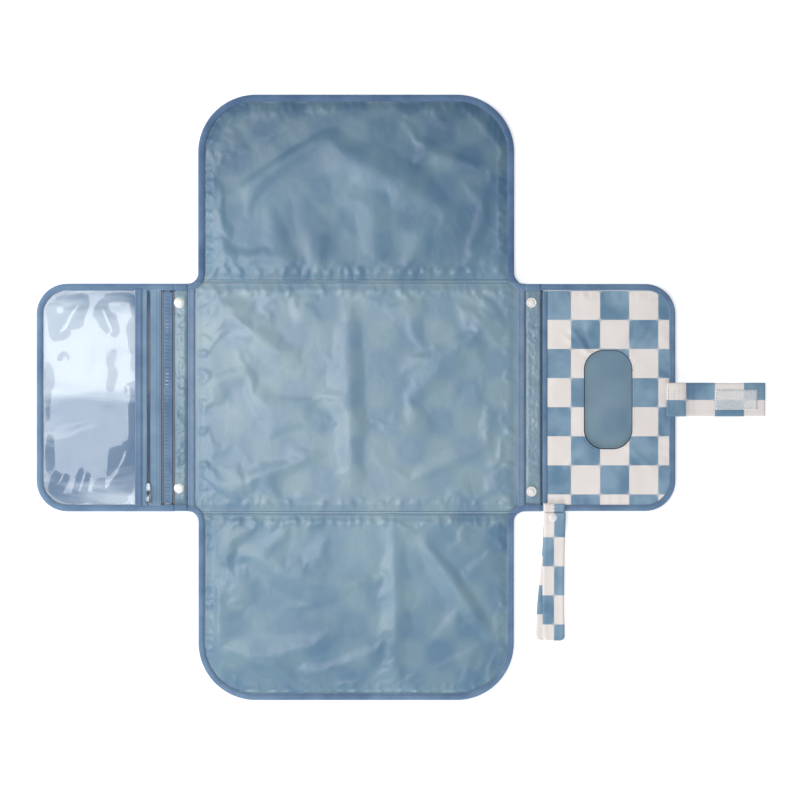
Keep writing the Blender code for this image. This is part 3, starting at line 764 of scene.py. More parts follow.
TOPS = {side: span(f"{side}_strip_binding_upper")[2][1] for side in ("left", "right")}
folded_tape(
    "edge_tape_top", lambda i: end_path(i, 1), PANEL_LOW, PANEL_HIGH, TOP, ("top_binding",), 3.0,
    mat=EDGE_PAINTED_SHADE,
)
folded_tape(
    "edge_tape_bottom", lambda i: end_path(i, -1), PANEL_LOW, PANEL_HIGH, BOTTOM, ("bottom_binding",), 5.0
)
for x_side, side, fold, leaf, strip_where, wing_where, top in (
    (-1, "left", LEFT_FOLD, LEFT_LEAF, LEFT_STRIP, LEFT_WING, LEFT_TOP),
    (1, "right", RIGHT_FOLD, RIGHT_LEAF, RIGHT_STRIP, RIGHT_WING, RIGHT_TOP),
):
    for y_side, level in ((1, "upper"), (-1, "lower")):
        folded_tape(
            f"edge_tape_corner_{side}_{level}",
            lambda i, a=x_side, b=y_side, f=fold: mirrored(fillet_path(i, f), a, b),
            PANEL_LOW, PANEL_HIGH, "centre", (f"corner_binding_{side}_{level}",), 7.0 + x_side + y_side * 3,
            last=TOPS[side],
        )
        folded_tape(
            f"edge_tape_strip_{side}_{level}",
            lambda i, f=fold, l=leaf, b=y_side: [
                (f + (l - f) * k / 6, b * (WING_HALF - i)) for k in range(7)
            ],
            0.1, TOPS[side], strip_where, (f"{side}_strip_binding_{level}",), 11.0 + x_side + y_side * 3,
        )
    folded_tape(
        f"edge_tape_wing_{side}", lambda i, a=x_side, l=leaf: wing_path(i, a, abs(l)), 0.1, top, wing_where,
        (f"{side}_wing_binding",), 17.0 + x_side,
    )


def raised(path, z):
    """A flat path, lifted to one height."""
    return [(x, y, z) for x, y in path]


def row_along_y(x, y0, y1, z, step=3.0):
    """Points for a straight row of stitches."""
    return [(x, y, z) for y in np.arange(y0, y1, step)]


stitches("edge_stitches_top", raised(end_path(5.0, 1), PANEL_HIGH + 0.08), TOP)
stitches("edge_stitches_bottom", raised(end_path(5.0, -1), PANEL_HIGH + 0.08), BOTTOM)
stitches("edge_stitches_left", raised(wing_path(5.0, -1, -LEFT_LEAF), LEFT_TOP + 0.05), LEFT_WING)
stitches("edge_stitches_right", raised(wing_path(5.0, 1, RIGHT_LEAF), RIGHT_TOP + 0.05), RIGHT_WING)

for y_side, name, where in ((1, "top", TOP), (-1, "bottom", BOTTOM)):
    reach = FILLET_X - math.sqrt(FILLET**2 - (FILLET_Y - FOLD) ** 2) - 6
    for offset, body in ((-1.9, "centre"), (1.9, where)):
        row = [(x, y_side * (FOLD + offset), SHEET_EDGE + 0.2) for x in np.arange(-reach, reach, 3.0)]
        label = "inner" if offset < 0 else "outer"
        stitches(f"{name}_seam_stitches_{label}", row, body, DARK_STITCH, 2.0, 0.8, 0.3)


def crimp(x, y, seed, across=0.0):
    """The small waves of a strip that is held tight along both its edges."""
    return 0.55 * wander(x * 0.5 + across, y, seed, 8.0) + 0.3 * wander(x, y, seed + 4, 3.2)


for (x0, x1), side in zip(SEAM_TAPES, ("left", "right")):
    half = FOLD - 2.0

    def tape_height(x, y, a=x0, b=x1):
        rim = smooth(min(x - a, b - x), 0.0, 1.2)
        return 2.75 + 0.55 * rim + 0.3 * crimp(x, y, a)

    cloth(
        f"seam_tape_{side}_cloth", (x0, x1, -half, half), 0.95, everywhere, tape_height,
        TAPE, "centre",
        (f"seam_tape_{side}",), 0.5, declare=False,
    )
    for number, place in enumerate((x0 + 1.3, x1 - 1.3)):
        row = row_along_y(place, -half, half, 3.38)
        stitches(f"seam_tape_{side}_stitches_{number}", row, "centre", STITCH, 2.4, 0.9, 0.26)


def rim_height(depth, low=0.25, edge=0.9):
    """An outer sheet lies flat and rises a little where the binding grips it."""
    return edge + (low - edge) * smooth(depth, 3.0, 14.0)


for kind, name, box, where in (
    ("centre", "centre", CENTRE_BOX, "centre"),
    ("end", "top", (-SIDE - 6, SIDE + 6, FOLD, END), TOP),
    ("end", "bottom", (-SIDE - 6, SIDE + 6, -END, -FOLD), BOTTOM),
):
    def shell_depth(x, y, kind=kind):
        if kind == "centre":
            return math.hypot(FILLET_X - abs(x), FILLET_Y - abs(y)) - FILLET
        return edge_depth(kind, x, y)[0]

    cloth(
        f"{name}_outer_cloth", box, 4.0, lambda x, y, d=shell_depth: d(x, y) > 3.0,
        lambda x, y, d=shell_depth: 0.35 + rim_height(d(x, y), 0.2, 0.55) + 0.12 * wander(x, y, 3.0, 30.0),
        PRINT, where,
        (f"{name}_outer",), 0.35,
    )
    inner = cloth(
        f"{name}_foam_sheet", box, 6.0,
        lambda x, y, k=kind: edge_depth(k, x, y)[0] > BINDING + 10 and edge_depth(k, x, y)[1] > 8,
        lambda x, y: 2.1, FOAM, where, (f"{name}_foam",), 1.4, declare=False,
    )


# ---------------------------------------------------------------- wings
def leaf_keep(inset, inner=0.0):
    """An outline test: inside a wing's outline, and at least a distance from the pad's middle."""
    return lambda x, y: abs(x) >= inner and wing_depth(x, y) > inset


def side_box(a, b, half=WING_HALF):
    return (min(a, b), max(a, b), -half, half)


def strip_height(x, y, fold, leaf, seed):
    rim = smooth(min(abs(x - fold), abs(x - leaf)), 0.0, 3.0) * smooth(WING_HALF - abs(y), 6.0, 14.0)
    gather = crimp(x, y, seed, 0.12 * y)
    return 2.0 + 1.25 * rim + (1.3 * gather + 0.9 * wander(x, y, seed, 17.0)) * (0.35 + 0.65 * rim)


for side, fold, leaf, where, seed in (
    ("left", LEFT_FOLD, LEFT_LEAF, LEFT_STRIP, 61.0),
    ("right", RIGHT_FOLD, RIGHT_LEAF, RIGHT_STRIP, 67.0),
):
    box = side_box(fold, leaf + (0.9 if leaf < 0 else -0.9), WING_HALF - 3)
    cloth(
        f"{side}_strip_cloth", box, 0.95, everywhere,
        lambda x, y, f=fold, l=leaf, s=seed: strip_height(x, y, f, l, s), LINING_WING, where,
        (f"{side}_strip_lining",),
    )
    cloth(
        f"{side}_strip_backing", box, 2.4, everywhere,
        lambda x, y: 0.75 + 0.1 * wander(x, y, 2.0, 9.0),
        PRINT, where, (f"{side}_strip_outer",), 0.35,
    )

for side, leaf, where in (("left", LEFT_LEAF, LEFT_WING), ("right", RIGHT_LEAF, RIGHT_WING)):
    sign = -1 if leaf < 0 else 1
    box = side_box(leaf, sign * WING)
    cloth(
        f"{side}_wing_back", box, 3.2, leaf_keep(3.0),
        lambda x, y: 0.75 + 0.14 * wander(x, y, 8.0, 24.0), PRINT,
        where, (f"{side}_wing_outer",), 0.35,
    )
    cloth(
        f"{side}_wing_lining_cloth", box, 3.2, leaf_keep(3.0),
        lambda x, y: 1.65 + 0.22 * wander(x, y, 5.0, 22.0), LINING_WING, where, (f"{side}_wing_lining",), 0.3,
    )

# ---- left wing: the slip pocket's ruffled edge, the zip, and the clear window
SLIP = span("slip_pocket")
SLIP_EDGE = span("slip_pocket_binding")
VINYL_AT = span("clear_pocket_window")
VINYL_TAPE = span("clear_pocket_tape")
ZIP_LEFT, ZIP_RIGHT = span("zip_tape_left"), span("zip_tape_right")


def slip_height(x, y):
    rim = smooth(wing_depth(x, y), 4.0, 12.0)
    return 2.35 + 0.45 * rim + 0.25 * wander(x, y, 12.0, 26.0) * rim


cloth(
    "slip_pocket_cloth", (SLIP[0][0], SLIP[0][1], -WING_HALF, WING_HALF), 3.0,
    leaf_keep(3.5, inner=-SLIP[0][1]),
    slip_height, POCKET_PAINTED_SHEEN, LEFT_WING, ("slip_pocket",), 0.3,
)


def ruffle(x, y):
    """The pocket's edge tape: gathered into small even folds along its inner half."""
    a, b = SLIP_EDGE[0]
    across = (x - a) / (b - a)
    fold = math.sin(y * 2 * math.pi / 3.7 + 1.6 * wander(x, y, 3.0, 9.0))
    depth = smooth(across, 0.02, 0.2) * (1 - smooth(across, 0.5, 0.78))
    return 3.0 + 0.42 * smooth(min(x - a, b - x), 0.0, 1.0) + 0.7 * fold * depth + 0.25 * crimp(x, y, 5.0)


cloth(
    "slip_pocket_edge", (*SLIP_EDGE[0], -SLIP_EDGE[1][1], SLIP_EDGE[1][1]), 0.75,
    everywhere, ruffle, EDGE,
    LEFT_WING, ("slip_pocket_binding",), 0.6, declare=False,
)
row = row_along_y(SLIP_EDGE[0][0] + 5.6, -SLIP_EDGE[1][1] + 2, SLIP_EDGE[1][1] - 2, 3.46)
stitches("slip_pocket_stitches", row, LEFT_WING, STITCH)


def pocket_mouth(name, x0, x1, z, where):
    """A dark sheet painted as the shade inside a pocket, seen through its slit."""
    box = (x0, x1, -WING_HALF + 7, WING_HALF - 7)
    cloth(
        name, box, 0.9, everywhere, lambda x, y: z + 0.1 * crimp(x, y, 9.0), MOUTH_PAINTED_SHADE, where,
        (), 0.2, False,
    )


pocket_mouth("zip_pocket_mouth", ZIP_RIGHT[0][1] - 0.8, SLIP_EDGE[0][0] + 0.6, 2.95, "left_leaf")
pocket_mouth("slip_pocket_mouth", SLIP_EDGE[0][1] - 0.6, LEFT_LEAF + 1.8, 2.0, LEFT_WING)


VINYL_FOLDS = (
    ((-314, 62), (-286, 104), 7.0, 1.9),
    ((-268, 98), (-254, 66), 5.0, 1.8),
    ((-234, 104), (-229, 76), 5.0, 1.6),
    ((-310, 44), (-302, 40), 4.0, 1.1),
    ((-238, 14), (-231, -6), 5.0, 1.6),
    ((-264, -102), (-236, -50), 9.0, 2.6),
    ((-291, -106), (-284, -76), 5.0, 1.8),
    ((-319, -100), (-306, -80), 5.0, 1.8),
)


def vinyl_height(x, y):
    """The clear sheet stands off its cloth in broad waves, tightest at its sewn edges."""
    rim = smooth(wing_depth(x, y), 6.0, 22.0) * smooth(VINYL_AT[0][1] - x, 3.0, 16.0)
    wave = 1.2 * wander(x + 0.35 * y, y * 0.6, 71.0, 24.0) + 0.8 * wander(x, y, 77.0, 40.0)
    wave += 0.45 * wander(x, y, 79.0, 13.0)
    for fold in VINYL_FOLDS:
        wave += ridge(x, y, *fold)
    return 3.35 + rim * max(0.0, 1.2 + wave)


def vinyl_sheet():
    verts, faces = grid(
        VINYL_AT[0][0], VINYL_AT[0][1], -WING_HALF, WING_HALF, 3.0,
        leaf_keep(3.5, inner=-VINYL_AT[0][1]), vinyl_height
    )
    obj = thicken(subdivide(piece("clear_window", verts, faces, VINYL)), 0.2)
    settle(obj, "left_leaf", ("clear_pocket_window",))


vinyl_sheet()


def flat_tape(name, box, z, mat, where, nodes, seed, rows=()):
    """A tape sewn down flat, lower along its two long edges, with a row of stitches at each x in rows."""
    x0, x1, y0, y1 = box
    drop = 0.3

    def height(x, y):
        rim = smooth(min(x - x0, x1 - x), 0.0, 1.0)
        return z - drop + drop * rim + 0.13 * crimp(x, y, seed)

    cloth(name, box, 0.9, everywhere, height, mat, where, nodes, 0.4, declare=False)
    for number, place in enumerate(rows):
        path = row_along_y(place, y0 + 1.0, y1 - 1.0, z + 0.06)
        stitches(f"{name}_stitches_{number}", path, where, STITCH, 2.2, 0.9, 0.24)


TAPE_HALF = WING_HALF - 5.5
flat_tape(
    "window_tape", (*VINYL_TAPE[0], -TAPE_HALF, TAPE_HALF), VINYL_TAPE[2][1], EDGE, "left_leaf",
    ("clear_pocket_tape",), 23.0, (VINYL_TAPE[0][0] + 1.5, VINYL_TAPE[0][1] - 1.5),
)
flat_tape(
    "zip_tape_outer", (ZIP_LEFT[0][0], ZIP_X - 1.4, -TAPE_HALF, TAPE_HALF), ZIP_LEFT[2][0] + 0.3, ZIP_CLOTH,
    "left_leaf", ("zip_tape_left",), 29.0,
)
flat_tape(
    "zip_tape_inner", (ZIP_X + 1.4, ZIP_RIGHT[0][1], -TAPE_HALF, TAPE_HALF), ZIP_RIGHT[2][0] + 0.3, ZIP_CLOTH,
    "left_leaf", ("zip_tape_right",), 31.0, (ZIP_RIGHT[0][1] - 2.2, ZIP_RIGHT[0][1] - 5.0),
)


COIL_PITCH = 0.62
COIL_RISE = 0.45          # half the height of a coil loop
COIL_RADIUS = 0.32        # its half width along the zip, where it is fattest
# each loop's rings: place across the zip, and half width
COIL_RINGS = ((-0.3, 0.12), (0.1, COIL_RADIUS), (0.7, COIL_RADIUS), (1.5, 0.26), (1.75, 0.08))


def zip_coil():
    """Two facing rows of coil loops, each loop a small bead set across the zip."""
    verts, faces = [], []
    half = TAPE_HALF - 3.0
    for number, y in enumerate(np.arange(-half, half, COIL_PITCH)):
        sign = 1 if number % 2 else -1
        base = len(verts)
        for share, radius in COIL_RINGS:
            for k in range(6):
                turn = k * math.pi / 3
                verts.append(
                    (
                        ZIP_X + sign * share, y + radius * math.cos(turn),
                        ZIP_LEFT[2][0] + COIL_RISE + COIL_RISE * math.sin(turn) * radius / COIL_RADIUS,
                    )
                )
        faces += tube_faces(base, 4)
    settle(piece("zip_coil", verts, faces, COIL), "left_leaf")


zip_coil()


def weld(obj, change):
    """Join the doubled points of a mesh, then change it."""
    work = bmesh.new()
    work.from_mesh(obj.data)
    bmesh.ops.remove_doubles(work, verts=work.verts, dist=1e-6)
    change(work)
    work.to_mesh(obj.data)
    work.free()


def merge_flat_faces(work):
    bmesh.ops.dissolve_limit(work, angle_limit=math.radians(4), verts=work.verts, edges=work.edges)


def copy_node(node, name, mat, where, bevel=0.12):
    """A finer copy of a small hard CAD node, with its edges rounded."""
    source = bpy.data.objects[node]
    obj = bpy.data.objects.new(name, source.data.copy())
    bpy.context.scene.collection.objects.link(obj)
    obj.matrix_world = source.matrix_world
    bpy.context.view_layer.update()
    obj.data.transform(obj.matrix_world)
    obj.matrix_world.identity()
    weld(obj, merge_flat_faces)
    mod = obj.modifiers.new("Bevel", "BEVEL")
    mod.width = bevel * MM
    mod.segments = 2
    mod.limit_method = "ANGLE"
    mod.angle_limit = math.radians(35)
    apply_modifiers(obj)
    obj.data.materials.clear()
    obj.data.materials.append(mat)
    obj.data.shade_smooth()
    return settle(obj, where, (node,))


copy_node("zip_slider", "zip_slider_body", METAL, "slider", 0.3)
copy_node("pull_tab", "zip_pull", METAL, "pull_tab", 0.15)
copy_node("loop_patch", "loop_fastener", PILE, "left_leaf", 0.05)


# ---- right wing: the printed wipes pocket with its window
WIPES = span("wipes_panel")
WIPES_EDGE = span("wipes_pocket_binding")
WINDOW_X, WINDOW_Y, WINDOW_CORNER = (238.6, 290.1), (-54.5, 50.3), 21.0


def window_core():
    """The window's middle, and the half sizes of the box that its corners are rounded about."""
    cx, cy = sum(WINDOW_X) / 2, sum(WINDOW_Y) / 2
    half_x = (WINDOW_X[1] - WINDOW_X[0]) / 2 - WINDOW_CORNER
    half_y = (WINDOW_Y[1] - WINDOW_Y[0]) / 2 - WINDOW_CORNER
    return cx, cy, half_x, half_y


def window_depth(x, y):
    """How far outside the window a point is; negative inside it."""
    cx, cy, half_x, half_y = window_core()
    dx, dy = abs(x - cx) - half_x, abs(y - cy) - half_y
    return math.hypot(max(dx, 0), max(dy, 0)) + min(max(dx, dy), 0) - WINDOW_CORNER


def window_path(offset):
    """The window's rounded outline, moved outwards by offset."""
    x0, x1 = WINDOW_X[0] + WINDOW_CORNER, WINDOW_X[1] - WINDOW_CORNER
    y0, y1 = WINDOW_Y[0] + WINDOW_CORNER, WINDOW_Y[1] - WINDOW_CORNER
    radius = WINDOW_CORNER + offset
    path = []
    for cx, cy, start in ((x1, y1, 0), (x0, y1, 90), (x0, y0, 180), (x1, y0, 270)):
        path += arc(cx, cy, radius, start, start + 90, 22)
    dense = []
    for a, b in zip(path, path[1:] + path[:1]):
        dense += line(a, b, 2.0)
    return dense


def wipes_height(x, y):
    rim = smooth(wing_depth(x, y), 5.0, 16.0) * smooth(x, WIPES_EDGE[0][1] - 3, WIPES_EDGE[0][1] + 6)
    near = math.exp(-max(0.0, window_depth(x, y)) / 9.0)
    z = 2.75 + rim * (0.55 + 0.55 * wander(x, y, 91.0, 34.0) + 0.28 * wander(x, y, 93.0, 14.0))
    cx, cy = sum(WINDOW_X) / 2, WINDOW_Y[1] - WINDOW_CORNER
    for sign in (-1, 1):
        start = (cx + sign * 19, cy + 17)
        for turn, height in ((52, 1.2), (74, -0.8), (33, 0.9)):
            end = (
                start[0] + sign * 34 * math.cos(math.radians(turn)),
                start[1] + 34 * math.sin(math.radians(turn)),
            )
            z += ridge(x, y, start, end, 2.6, height)
        low = (cx + sign * 20, WINDOW_Y[0] + 4)
        z += ridge(x, y, low, (low[0] + sign * 26, low[1] - 24), 3.2, 0.95)
    along = x if WING_HALF - abs(y) < WING - x else y
    z += 0.4 * puckers(along, wing_depth(x, y) - BINDING, 95.0)
    return max(2.6, z + 0.5 * near * rim)


def wipes_front():
    """The printed panel, with its inner points drawn onto the window's outline."""
    keep = leaf_keep(3.5, inner=WIPES[0][0])
    verts, faces = grid(
        WIPES[0][0], WIPES[0][1], -WING_HALF, WING_HALF, 2.0,
        lambda x, y: keep(x, y) and window_depth(x, y) > 0.6, wipes_height,
    )
    cx, cy, half_x, half_y = window_core()
    moved = []
    for x, y, z in verts:
        depth = window_depth(x, y)
        if depth < 1.7:
            px = min(max(x, cx - half_x), cx + half_x)
            py = min(max(y, cy - half_y), cy + half_y)
            away = math.hypot(x - px, y - py) or 1.0
            x, y = px + (x - px) * WINDOW_CORNER / away, py + (y - py) * WINDOW_CORNER / away
            z = wipes_height(x, y)
        moved.append((x, y, z))
    obj = thicken(piece("wipes_panel_cloth", moved, faces, PRINT), 0.35)
    settle(obj, RIGHT_WING, ("wipes_panel",))


wipes_front()


def window_rim(name, offsets, mat, seed):
    """The window's turned edge: a narrow roll that follows its outline."""
    rings = []
    for offset, z in offsets:
        ring = [
            (x, y, wipes_height(x, y) + z + 0.12 * wander(x, y, seed, 4.0))
            for x, y in window_path(offset)
        ]
        rings.append(ring + ring[:1])
    verts, faces = loft(rings)
    return settle(thicken(piece(name, verts, faces, mat), 0.25), "right_leaf")


window_rim(
    "window_turned_edge",
    ((1.3, 0.0), (1.0, 0.16), (0.5, 0.2), (0.0, 0.1), (-0.25, -0.1), (-0.2, -0.5), (0.2, -0.7)),
    PRINT, 4.0,
)


def window_shade():
    """A narrow dark ring of painted shadow in the gap between the window's edge and the cloth inside the
    pocket.
    """
    rings = [
        raised(window_path(offset), z)
        for offset, z in ((0.8, 2.2), (-0.6, 2.15), (-1.2, 1.95))
    ]
    verts, faces = loft([ring + ring[:1] for ring in rings])
    settle(thicken(piece("window_gap_painted_shadow", verts, faces, MOUTH_PAINTED_SHADE), 0.15), "right_leaf")


window_shade()
pocket_mouth("wipes_pocket_mouth", RIGHT_LEAF - 1.8, WIPES_EDGE[0][0] + 0.7, 2.2, RIGHT_WING)


def pocket_edge(x, y):
    a, b = WIPES_EDGE[0]
    return 3.1 + 0.6 * smooth(min(x - a, b - x), 0.0, 1.3) + 0.2 * crimp(x, y, 15.0)


cloth(
    "wipes_pocket_edge", (*WIPES_EDGE[0], -WIPES_EDGE[1][1], WIPES_EDGE[1][1]), 0.8,
    everywhere, pocket_edge,
    EDGE, RIGHT_WING, ("wipes_pocket_binding",), 0.6, declare=False,
)
row = row_along_y(WIPES_EDGE[0][1] - 1.2, -WIPES_EDGE[1][1] + 2, WIPES_EDGE[1][1] - 2, 3.42)
stitches("wipes_pocket_stitches", row, RIGHT_WING, STITCH)


# ---------------------------------------------------------------- straps
def ribbon(
    name, path, across, along, mat, where, nodes, shift, thickness, seed,
    sway=lambda run: 0.0, round_end=0.0,
):
    """A sewn strap: path is (distance along, top height), across its two sides, along the axis it runs on."""
    points = []
    for (a, za), (b, zb) in zip(path, path[1:]):
        count = max(7, round(abs(b - a) / 1.6))
        for k in range(count):
            t = k / count
            points.append((a + (b - a) * t, za + (zb - za) * (t * t * (3 - 2 * t))))
    points.append(path[-1])
    low, high = across
    end, half = path[-1][0], (high - low) / 2
    lanes = np.linspace(-1, 1, max(9, round((high - low) / 1.5)) | 1)
    rings = []
    for u, z in points:
        narrow = 1.0
        if round_end and abs(end - u) < round_end:
            narrow = 1 - (round_end / half) * (
                1 - math.sqrt(max(0.0, 1 - (1 - abs(end - u) / round_end) ** 2))
            )
        ring = []
        for lane in lanes:
            v = (low + high) / 2 + lane * half * narrow + sway(u)
            hem = 0.28 * smooth(abs(lane), 0.62, 0.72) * (1 - smooth(abs(lane), 0.86, 1.0))
            wave = 0.22 * wander(u, v, seed, 11.0) + 0.3 * wander(u, v * 0.3, seed + 2, 26.0)
            height = max(thickness + 0.05, z + hem + wave)
            ring.append((u, v, height) if along == "x" else (v, u, height))
        rings.append(ring)
    verts, faces = loft(rings)
    if along == "y":
        faces = [face[::-1] for face in faces]
    if path[-1][0] < path[0][0]:
        faces = [face[::-1] for face in faces]
    obj = thicken(piece(name, verts, faces, mat), thickness)
    settle(obj, where, nodes, shift)
    return points


# how far the print is moved on each strap, so that its squares start where the cloth was cut
STRAP_PRINT, FRONT_PRINT, REAR_PRINT = (1.3, -7.5, 0), (-12.8, -16.1, 0), (-12.8, -26.6, 0)
STRAP_AT, ROOT = span("closure_strap"), span("closure_strap_root")
strap_line = ribbon(
    "closure_strap_cloth",
    ((ROOT[0][0], 4.5), (ROOT[0][1], 4.65), (341, 4.2), (351, 1.3), (356, 0.75), (STRAP_AT[0][1], 0.75)),
    STRAP_AT[1], "x", PRINT, STRAP, ("closure_strap", "closure_strap_root"), STRAP_PRINT, 0.6, 101.0,
)


def height_on(points, u):
    return next(
        za + (zb - za) * (u - a) / (b - a)
        for (a, za), (b, zb) in zip(points, points[1:])
        if min(a, b) <= u <= max(a, b)
    )


for number, y in enumerate((STRAP_AT[1][0] + 2.4, STRAP_AT[1][1] - 2.4)):
    row = [(x, y, height_on(strap_line, x) + 0.3) for x in np.arange(ROOT[0][0] + 1, STRAP_AT[0][1] - 2, 2.5)]
    stitches(f"strap_stitches_{number}", row, STRAP)
row = row_along_y(STRAP_AT[0][1] - 2.2, STRAP_AT[1][0] + 2, STRAP_AT[1][1] - 2, 1.05, 2.5)
stitches("strap_stitches_end", row, "closure_strap")
for number, x in enumerate((ROOT[0][0] + 1.8, ROOT[0][1] - 3.0)):
    row = row_along_y(x, STRAP_AT[1][0] + 2, STRAP_AT[1][1] - 2, 5.0, 2.5)
    stitches(f"strap_root_stitches_{number}", row, "right_leaf")


def hook_tape():
    """The hook patch: a thin woven base with rows of small hooks."""
    (x0, x1), (y0, y1), (_, z1) = span("hook_patch")
    z1 += 0.55
    verts, faces = grid(
        x0, x1, y0, y1, 1.5, everywhere, lambda x, y: z1 - 0.25 + 0.1 * wander(x, y, 6.0, 9.0)
    )
    base = thicken(piece("hook_tape_base", verts, faces, PILE), 0.35)
    settle(base, "closure_strap", ("hook_patch",), STRAP_PRINT)
    verts, faces = [], []
    for row_number, x in enumerate(np.arange(x0 + 1.2, x1 - 0.8, 0.85)):
        for y in np.arange(y0 + 1.2 + 0.4 * (row_number % 2), y1 - 0.8, 0.85):
            start = len(verts)
            lean = 0.25 * noise.noise(Vector((x, y, 2.0)))
            for size, dx, dz in ((0.16, 0, 0), (0.12, lean, 0.35), (0.17, lean + 0.15, 0.5)):
                verts += [
                    (x + dx + a * size, y + b * size, z1 - 0.25 + dz)
                    for a, b in ((-1, -1), (1, -1), (1, 1), (-1, 1))
                ]
            faces += tube_faces(start, 2, 4)
            faces.append(tuple(start + 8 + k for k in range(4)))
    settle(piece("hook_tape_hooks", verts, faces, PILE), "closure_strap", (), STRAP_PRINT)
    edge = [(x0 + 1, y0 + 1), (x1 - 1, y0 + 1), (x1 - 1, y1 - 1), (x0 + 1, y1 - 1), (x0 + 1, y0 + 1)]
    path = [p for a, b in zip(edge, edge[1:]) for p in line(a, b, 2.0)] + [edge[-1]]
    stitches(
        "hook_tape_stitches", raised(path, z1 + 0.12), "closure_strap", STITCH, 1.9, 0.9, 0.2
    )


hook_tape()

FRONT, REAR = span("wrist_strap_front"), span("wrist_strap_rear")
WRIST_ROOT = span("wrist_strap_root")


def front_sway(y):
    """How far the front run wanders sideways along its length."""
    return 0.9 * math.sin((y + 150) / 34.0)


front_line = ribbon(
    "wrist_front_cloth",
    ((FRONT[1][1], 5.15), (-132, 5.05), (-145, 2.1), (-150, 1.85), (-255.0, 1.85)),
    FRONT[0], "y", PRINT, "wrist_tail", ("wrist_strap_front",), FRONT_PRINT, 0.5, 111.0,
    sway=front_sway, round_end=5.0,
)
ribbon(
    "wrist_rear_cloth",
    (
        (WRIST_ROOT[1][1], 4.4), (-119.2, 4.5), (-121.5, 2.2), (-126, 1.65), (-132, 1.6),
        (-142, 0.65), (-255.0, 0.65),
    ),
    REAR[0], "y", PRINT, WRIST, ("wrist_strap_rear", "wrist_strap_root"), REAR_PRINT, 0.5, 117.0,
    sway=lambda y: -7.8 * smooth(-y, 134.0, 250.0), round_end=5.0,
)
for number, side in enumerate((FRONT[0][0] + 1.8, FRONT[0][1] - 1.8)):
    row = [
        (side + front_sway(y), y, height_on(front_line, y) + 0.26)
        for y in np.arange(FRONT[1][1] - 1.0, -252.0, -2.5)
    ]
    stitches(f"wrist_stitches_{number}", row, "wrist_tail")
for number, y in enumerate((WRIST_ROOT[1][1] - 1.6, WRIST_ROOT[1][1] - 5.0)):
    row = [(x, y, 4.85) for x in np.arange(WRIST_ROOT[0][0] + 1.5, WRIST_ROOT[0][1] - 1.0, 2.5)]
    stitches(f"wrist_root_stitches_{number}", row, "right_leaf")


# ---------------------------------------------------------------- snaps
TURNED_STEPS = 40


def turned(name, node, profile, mat, where):
    """A body turned from (radius, height) pairs about the middle of a CAD node."""
    (x0, x1), (y0, y1), _ = span(node)
    cx, cy = (x0 + x1) / 2, (y0 + y1) / 2
    turns = [2 * math.pi * k / TURNED_STEPS for k in range(TURNED_STEPS + 1)]
    rings = [
        [(cx + radius * math.cos(a), cy + radius * math.sin(a), z) for a in turns] for radius, z in profile
    ]
    verts, faces = loft(rings)
    obj = piece(name, verts, faces, mat)
    weld(obj, lambda work: bmesh.ops.recalc_face_normals(work, faces=work.faces))
    return settle(obj, where, (node,))


def cap_rings(radius, low, high):
    """A moulded cap: rolled rim, shallow dome and a faint pip from the mould at its centre."""
    rise = high - low
    return [
        (0.001, low), (radius * 0.9, low), (radius, low + rise * 0.22), (radius * 0.99, low + rise * 0.42),
        (radius * 0.93, low + rise * 0.58), (radius * 0.86, low + rise * 0.6),
        (radius * 0.8, low + rise * 0.66),
        (radius * 0.62, low + rise * 0.86), (radius * 0.38, low + rise * 0.97), (radius * 0.14, high),
        (radius * 0.1, high - 0.1), (0.001, high - 0.1),
    ]


def stud_rings(radius, low, high):
    """A snap stud: flat flange, a channel and a rounded ball with a dimpled top."""
    return [
        (0.001, low), (radius * 0.95, low), (radius, low + 0.35), (radius * 0.94, low + 0.7),
        (radius * 0.78, low + 0.72),
        (radius * 0.66, low + 0.5), (radius * 0.5, low + 0.45), (radius * 0.42, low + 0.7),
        (radius * 0.44, high - 0.5),
        (radius * 0.4, high - 0.12), (radius * 0.28, high), (radius * 0.16, high - 0.05),
        (radius * 0.1, high - 0.3),
        (0.001, high - 0.3),
    ]


for level in ("upper", "lower"):
    for node, rings, where in (
        (f"left_snap_cap_{level}", cap_rings, "left_spine"),
        (f"right_snap_stud_{level}", stud_rings, "right_spine"),
    ):
        (x0, x1), _, (z0, z1) = span(node)
        turned(f"{node}_moulded", node, rings((x1 - x0) / 2, z0, z1), SNAP, where)
    copy_node(f"left_snap_socket_{level}", f"left_socket_{level}", SNAP, "left_spine")
    copy_node(f"right_snap_cap_{level}", f"right_rear_cap_{level}", SNAP, "right_spine")
(x0, x1), _, (z0, z1) = span("wrist_snap_cap")
turned("wrist_cap_moulded", "wrist_snap_cap", cap_rings((x1 - x0) / 2, z0, z1), SNAP, "wrist_tail")
copy_node("wrist_snap_socket", "wrist_socket", SNAP, "wrist_tail")
copy_node("wrist_snap_stud", "wrist_stud", SNAP, "wrist_strap")
copy_node("wrist_rear_cap", "wrist_back_cap", SNAP, "wrist_strap")


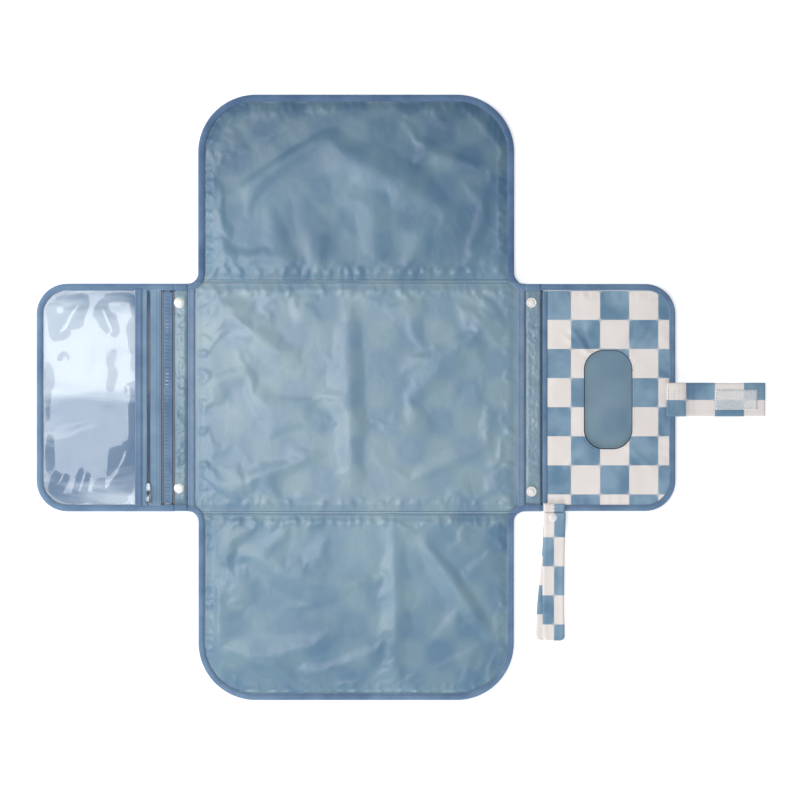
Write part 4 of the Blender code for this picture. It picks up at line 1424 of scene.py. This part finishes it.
# ---------------------------------------------------------------- floor, light and camera
VIEW_X, VIEW_Y = 46.0, -2.6         # the point that the camera looks down on
VIEW_WIDTH = 840.0
LENS, SENSOR = 100.0, 36.0


def glow(name, place, size, power, tilt=(0, 0)):
    data = bpy.data.lights.new(name, "AREA")
    data.shape = "RECTANGLE"
    data.size, data.size_y = size
    data.energy = power
    obj = bpy.data.objects.new(name, data)
    obj.location = place
    obj.rotation_euler = (math.radians(tilt[0]), math.radians(tilt[1]), 0)
    bpy.context.scene.collection.objects.link(obj)
    return obj


def set_stage():
    floor = Nodes("floor_paper", 0.9)
    paper = floor.mix(floor.noise(40.0), (0.96, 0.96, 0.96, 1), (0.985, 0.985, 0.985, 1))
    floor.plug(floor.shader, "Emission Color", paper)
    floor.shader.inputs["Emission Strength"].default_value = 0.4
    floor.done(paper)
    mesh = bpy.data.meshes.new("floor")
    mesh.from_pydata([(-4, -4, -0.003), (4, -4, -0.003), (4, 4, -0.003), (-4, 4, -0.003)], [], [(0, 1, 2, 3)])
    mesh.materials.append(floor.mat)
    ground = bpy.data.objects.new("floor", mesh)
    bpy.context.scene.collection.objects.link(ground)
    world = bpy.data.worlds.new("studio")
    world.use_nodes = True
    world.node_tree.nodes["Background"].inputs["Color"].default_value = (0.93, 0.96, 1, 1)
    world.node_tree.nodes["Background"].inputs["Strength"].default_value = 0.42
    bpy.context.scene.world = world
    bpy.context.scene.view_settings.view_transform = "Standard"
    glow("overhead", (-0.52, 0.04, 1.6), (0.62, 0.8), 9.0, (0, -16))
    glow("left_side", (-1.5, 0.3, 0.6), (0.8, 1.2), 15, (0, -68))
    glow("lower_side", (0.2, -1.7, 0.7), (1.4, 0.6), 14, (68, 0))


def set_camera():
    data = bpy.data.cameras.new("camera")
    data.lens, data.sensor_width = LENS, SENSOR
    camera = bpy.data.objects.new("camera", data)
    camera.location = (VIEW_X * MM, VIEW_Y * MM, VIEW_WIDTH * MM * LENS / SENSOR)
    bpy.context.scene.collection.objects.link(camera)
    bpy.context.scene.camera = camera


set_stage()
set_camera()
